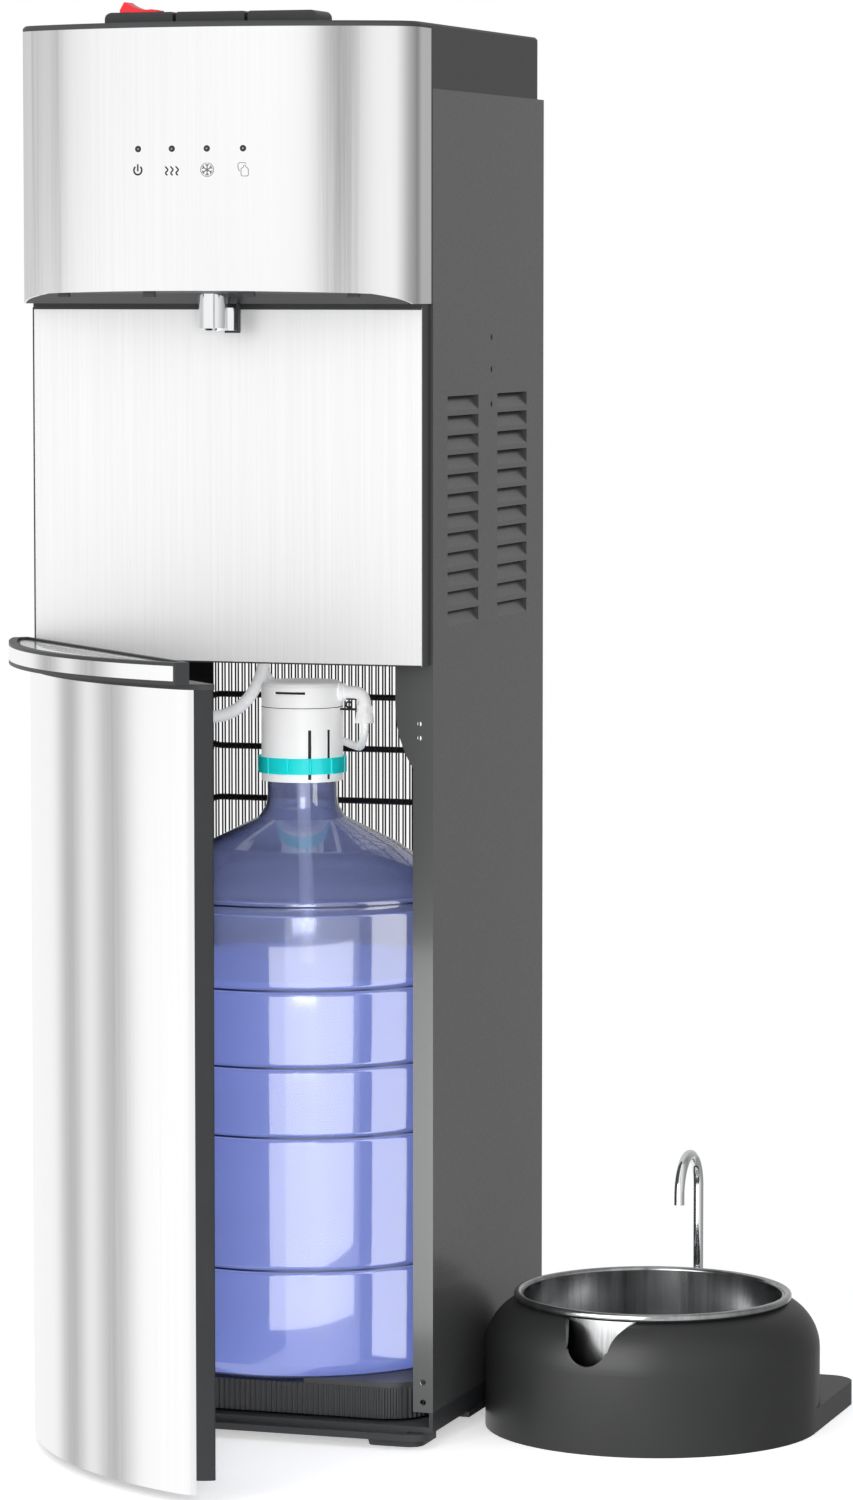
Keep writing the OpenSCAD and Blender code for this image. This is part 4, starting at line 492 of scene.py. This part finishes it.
# Strokes of the marks, in millimetres: a line width, and the points of its way across and up from the middle
power = [(1.3, arc(0, 0, 3.2, 40, 320)), (1.2, [(0, -0.9), (0, 4.3)])]
printed("power_mark", power, mark_x[0], dark_ink)
WAVE_MIDDLES = (-4.1, 0, 4.1)
WAVE_LINE = 1.1
WAVE_SWING = 0.85
WAVE_TURN = 1.35
WAVE_START = 0.6
WAVE_DROP = 0.6
wave_heights = [step / 4 for step in range(-13, 14)]
waves = [(WAVE_LINE, [(middle + WAVE_SWING * math.sin(z * WAVE_TURN + WAVE_START), z - WAVE_DROP)
                      for z in wave_heights])
         for middle in WAVE_MIDDLES]
printed("heat_mark", waves, mark_x[1], dark_ink)
flake = [(0.45, arc(0, 0, 4.9, 6, 354, 36))]
spoke = [(0.8, [(0, 0), (0, 4.2)]), (0.7, [(-1.3, 3.9), (0, 2.6), (1.3, 3.9)])]
for turn in range(0, 360, 60):
    c, s = math.cos(math.radians(turn)), math.sin(math.radians(turn))
    flake += [(width, [(x * c + z * s, z * c - x * s) for x, z in way]) for width, way in spoke]
printed("frost_mark", flake, mark_x[2], grey_ink)
front_bottle = [(-1.9, 0.6), (-1.9, -3.8), (-1.1, -4.6), (2.6, -4.6), (3.5, -3.8), (3.5, 0.2), (2.6, 1.4),
                (1.6, 1.9), (1.6, 3.1), (0, 3.1), (0, 1.9), (-1.9, 0.6)]
back_bottle = [(-2.9, -1.2), (-4.1, 1.3), (-4.1, 3.6), (-3.0, 4.9), (1.2, 4.9), (1.6, 4.2)]
printed("bottle_mark", [(0.5, front_bottle), (0.5, back_bottle)], mark_x[3], grey_ink)

lamp_dots = bmesh.new()
for x in LAMP_X:
    front = place(x, head_front(x) - LAMP_PROUD, LAMP_Z)
    upright = Matrix.Translation(front) @ Matrix.Rotation(math.pi / 2, 4, "X")
    bmesh.ops.create_cone(lamp_dots, cap_ends=True, segments=24, radius1=DOT_R * MM, radius2=DOT_TIP_R * MM,
                          depth=DOT_H * MM, matrix=upright)
finished(link("lamp_dots", lamp_dots), "clear_lens", material=glossy("lamp_glow", (0.22, 0.22, 0.23), 0.3))

# Painted shade: dark pieces in the bottoms of the cap's slits and lid slot, and a dark ring in the seam
# between cap and lid, where there is only shadow

CAP_SEAM_Z = 537.3
CAP_R = 31
SLIT_TURNS = (-60, -30, 120, 150)
SLIT_DEPTH = 1
SLIT_SIZE = (0.4, 2.4, 37.5)
SLIT_Z = 502.6
SLOT_SIZE = (24, 0.4, 1.9)
SLOT_SPOT = (0, -26.9, 549.2)
SHADE_LIFT = 0.02
SEAM_SHADE_IN, SEAM_SHADE_OUT = 0.6, 0.1
SEAM_SHADE_LOW, SEAM_SHADE_HIGH = 0.2, 0.8


def sized(size):
    """Scales a cube of one metre to a size in millimetres."""
    return Matrix.Diagonal((*[side * MM for side in size], 1))


cap_axis = place(BOTTLE["x"], BOTTLE["y"], 0)
cap_shade = moulded("cap_shade", (0.012, 0.012, 0.013), 0.6)
shadows = bmesh.new()
for turn in SLIT_TURNS:
    bottom = Vector((CAP_R - SLIT_DEPTH + SLIT_SIZE[0] / 2 + SHADE_LIFT, 0, SLIT_Z)) * MM
    turned_to = Matrix.Translation(cap_axis) @ Matrix.Rotation(math.radians(turn), 4, "Z")
    bmesh.ops.create_cube(shadows, size=1, matrix=turned_to @ Matrix.Translation(bottom) @ sized(SLIT_SIZE))
slot_place = Matrix.Translation(cap_axis + Vector(SLOT_SPOT) * MM)
bmesh.ops.create_cube(shadows, size=1, matrix=slot_place @ sized(SLOT_SIZE))
finished(link("cap_slit_shades", shadows), "black_plastic", material=cap_shade)
# Painted shade: a dark grey ring in the seam between cap and lid, standing in for the seam's shadow
near, far = CAP_R - SEAM_SHADE_IN, CAP_R - SEAM_SHADE_OUT
seam_shade_outline = [(near, SEAM_SHADE_LOW), (far, SEAM_SHADE_LOW), (far, SEAM_SHADE_HIGH), (near, SEAM_SHADE_HIGH), (near, SEAM_SHADE_LOW)]
seam_shade_ring = link("cap_seam_shade_ring", turned(seam_shade_outline, place(BOTTLE["x"], BOTTLE["y"], CAP_SEAM_Z), segments=96))
finished(smooth(seam_shade_ring), "mount_rubber", material=moulded("seam_shade_grey", (0.09, 0.09, 0.092), 0.6))

# Hanger on the cap, beside the elbow

STRAP_REACH = 36.5
STRAP_DROP = 1.2
STRAP_SIZE = (13, 3, 1.6)
STRAP_EASE = 0.3
RING_X = 43.5
RING_LIFT = 2.3
RING_R = 2.2
RING_WIRE_R = 0.75

strap = bmesh.new()
strap_spot = place(BOTTLE["x"] + STRAP_REACH, BOTTLE["y"], CAP_SEAM_Z - STRAP_DROP)
bmesh.ops.create_cube(strap, size=1, matrix=Matrix.Translation(strap_spot) @ sized(STRAP_SIZE))
bmesh.ops.bevel(strap, geom=strap.edges[:], offset=STRAP_EASE * MM, segments=2, profile=0.5, affect="EDGES",
                material=-1)
finished(link("hanger_strap", strap), "black_plastic")
ring = bmesh.new()
around = place(RING_X, BOTTLE["y"], CAP_SEAM_Z + RING_LIFT)
wire_spot = Matrix.Translation(around + Vector((RING_R * MM, 0, 0)))
bmesh.ops.create_circle(ring, segments=14, radius=RING_WIRE_R * MM, matrix=wire_spot)
bmesh.ops.spin(ring, geom=ring.verts[:] + ring.edges[:], cent=around, axis=(0, 1, 0), angle=2 * math.pi,
               steps=32, use_merge=True)
bmesh.ops.remove_doubles(ring, verts=ring.verts, dist=FINE_WELD)
bmesh.ops.recalc_face_normals(ring, faces=ring.faces)
finished(smooth(link("hanger_ring", ring)), "black_plastic")

# Dark edge of the splash panel

SPLASH_HALF_W = 151
SPLASH_BOTTOM = 580.3
SPLASH_TOP = 840.1
SPLASH_FRONT = -20.5
SIDE_TRIM = 1.1
TOP_TRIM = 1.5
BOTTOM_TRIM = 1.1
TRIM_LIFT = 0.02
TRIM_T = 0.3

# Left, top and bottom trim: the lower left corner and the upper right one
trims = (((-SPLASH_HALF_W, SPLASH_BOTTOM), (SIDE_TRIM - SPLASH_HALF_W, SPLASH_TOP)),
         ((SIDE_TRIM - SPLASH_HALF_W, SPLASH_TOP - TOP_TRIM), (SPLASH_HALF_W, SPLASH_TOP)),
         ((SIDE_TRIM - SPLASH_HALF_W, SPLASH_BOTTOM), (SPLASH_HALF_W, SPLASH_BOTTOM + BOTTOM_TRIM)))
edge_bm = bmesh.new()
for low, high in trims:
    middle = place((low[0] + high[0]) / 2, SPLASH_FRONT - TRIM_LIFT, (low[1] + high[1]) / 2)
    size = (high[0] - low[0], TRIM_T, high[1] - low[1])
    bmesh.ops.create_cube(edge_bm, size=1, matrix=Matrix.Translation(middle) @ sized(size))
finished(link("splash_edge", edge_bm), "dark_plastic")

# Floor and light

FLOOR_MIDDLE = (225, 70, 0)
FLOOR_R = 0.57
FLOOR_GLOW = 0.45

floor_bm = bmesh.new()
bmesh.ops.create_circle(floor_bm, cap_ends=True, segments=96, radius=FLOOR_R,
                        matrix=Matrix.Translation(place(*FLOOR_MIDDLE)))
floor = link("studio_floor", floor_bm)
floor.data.materials.append(glossy("studio_floor", (0.92, 0.92, 0.93), 0.8,
                                   Emission_Color=(1, 1, 1, 1), Emission_Strength=FLOOR_GLOW))
# Kept out of reflections, or the lowest part of the door would mirror it as a white strip
floor.visible_glossy = False

# The room round the object, by bearing: 0 in front, positive to the right. It has two storeys, each with
# its own walls: one level with the head and above, one level with the door and below. A point of a wall is
# a bearing in degrees and a brightness.
HIGH_WALLS = ((-180, 0.6), (-80, 0.7), (-50, 1.0), (0, 1.1), (45, 0.95), (90, 0.5), (130, 0.25), (180, 0.6))
LOW_WALLS = ((-180, 0.95), (-130, 1.0), (-60, 1.12), (-30, 1.1), (-15, 0.95), (35, 1.0), (90, 0.35),
             (160, 0.3), (180, 0.95))
# Dark flags that stand in the light: the bearing of the middle, the half width in degrees and the share of
# the light that is held off
HIGH_FLAGS = ((-74, 7, 0.35), (-65, 4, 0.5), (20, 10, 0.7))
LOW_FLAGS = ((-109, 13, 0.55), (-87, 13, 0.55))
# Heights of the view direction between which the lower storey turns into the upper one
STOREY_LOW = -0.035
STOREY_HIGH = -0.005

world = bpy.data.worlds.new("studio")
scene.world = world
world.use_nodes = True
sky = world.node_tree
direction = sky.nodes.new("ShaderNodeTexCoord")
split = sky.nodes.new("ShaderNodeSeparateXYZ")
sky.links.new(direction.outputs["Generated"], split.inputs["Vector"])


def sky_math(operation, first, second=None):
    """One sum on the view direction; each term is a number or a socket."""
    step = sky.nodes.new("ShaderNodeMath")
    step.operation = operation
    for socket, value in zip(step.inputs, (first, second)):
        if isinstance(value, (int, float)):
            socket.default_value = value
        elif value is not None:
            sky.links.new(value, socket)
    return step.outputs[0]


def sky_span(value, low, high):
    """A value as a share of the way from low to high."""
    span = sky.nodes.new("ShaderNodeMapRange")
    span.inputs["From Min"].default_value = low
    span.inputs["From Max"].default_value = high
    sky.links.new(value, span.inputs["Value"])
    return span.outputs["Result"]


def sky_walls(walls, share_round):
    """Brightness of a storey's walls all the way round."""
    ramp = sky.nodes.new("ShaderNodeValToRGB")
    elements = ramp.color_ramp.elements
    while len(elements) < len(walls):
        elements.new(0.5)
    for element, (bearing, light) in zip(elements, walls):
        element.position = (bearing + 180) / 360
        element.color = (light, light, light, 1)
    sky.links.new(share_round, ramp.inputs["Fac"])
    return ramp.outputs["Color"]


def sky_flags(light, flags, degrees_round):
    """Darkens a storey softly behind each of its flags."""
    for middle, half_width, held_off in flags:
        away = sky_math("ABSOLUTE", sky_math("SUBTRACT", degrees_round, middle))
        edge = sky.nodes.new("ShaderNodeMapRange")
        edge.interpolation_type = "SMOOTHSTEP"
        edge.inputs["From Min"].default_value = 0
        edge.inputs["From Max"].default_value = half_width
        edge.inputs["To Min"].default_value = 1 - held_off
        edge.inputs["To Max"].default_value = 1
        sky.links.new(away, edge.inputs["Value"])
        light = sky_math("MULTIPLY", light, edge.outputs["Result"])
    return light


bearing = sky_math("ARCTAN2", split.outputs["X"], sky_math("MULTIPLY", split.outputs["Y"], -1))
degrees_round = sky_math("DEGREES", bearing)
around_share = sky_span(bearing, -math.pi, math.pi)
levels = sky.nodes.new("ShaderNodeMix")
levels.data_type = "RGBA"
sky.links.new(sky_span(split.outputs["Z"], STOREY_LOW, STOREY_HIGH), levels.inputs["Factor"])
sky.links.new(sky_flags(sky_walls(LOW_WALLS, around_share), LOW_FLAGS, degrees_round), levels.inputs["A"])
sky.links.new(sky_flags(sky_walls(HIGH_WALLS, around_share), HIGH_FLAGS, degrees_round), levels.inputs["B"])
room_light = sky.nodes["Background"]
sky.links.new(levels.outputs["Result"], room_light.inputs["Color"])
# The camera itself sees plain white behind the object
backdrop = sky.nodes.new("ShaderNodeBackground")
backdrop.inputs["Color"].default_value = (1, 1, 1, 1)
path = sky.nodes.new("ShaderNodeLightPath")
pick = sky.nodes.new("ShaderNodeMixShader")
sky.links.new(path.outputs["Is Camera Ray"], pick.inputs["Fac"])
sky.links.new(room_light.outputs[0], pick.inputs[1])
sky.links.new(backdrop.outputs[0], pick.inputs[2])
sky.links.new(pick.outputs[0], sky.nodes["World Output"].inputs["Surface"])


def softbox(name, spot, aim, size, power, mirrored=True, lights=True):
    """A rectangular light of a size in metres and a power in watts."""
    lamp = bpy.data.lights.new(name, "AREA")
    lamp.shape = "RECTANGLE"
    lamp.size, lamp.size_y = size
    lamp.energy = power
    holder = bpy.data.objects.new(name, lamp)
    holder.visible_camera = False
    holder.visible_glossy = mirrored
    holder.visible_diffuse = lights
    holder.visible_transmission = lights
    holder.location = spot
    holder.rotation_euler = (Vector(aim) - Vector(spot)).to_track_quat("-Z", "Y").to_euler()
    scene.collection.objects.link(holder)


# The three softboxes light the object and are not mirrored; the two strips are only mirrored
softbox("key_softbox", spot=(-1.6, -3.4, 2.4), aim=(0, 0, 0.6), size=(2.0, 2.0), power=40, mirrored=False)
softbox("side_softbox", spot=(3.2, -0.8, 1.6), aim=(0.2, 0, 0.5), size=(1.5, 2.0), power=14, mirrored=False)
softbox("bay_softbox", spot=(0.9, -2.6, 0.75), aim=(-0.1, 0.1, 0.45), size=(0.8, 0.8),
        power=40, mirrored=False)
softbox("bottle_front_strip", spot=place(172, -150, 205), aim=place(172, 131, 205), size=(0.317, 0.3),
        power=1.3, lights=False)
softbox("bottle_side_strip", spot=place(150, 40, 270), aim=place(0, 40, 270), size=(0.05, 0.45),
        power=0.33, lights=False)
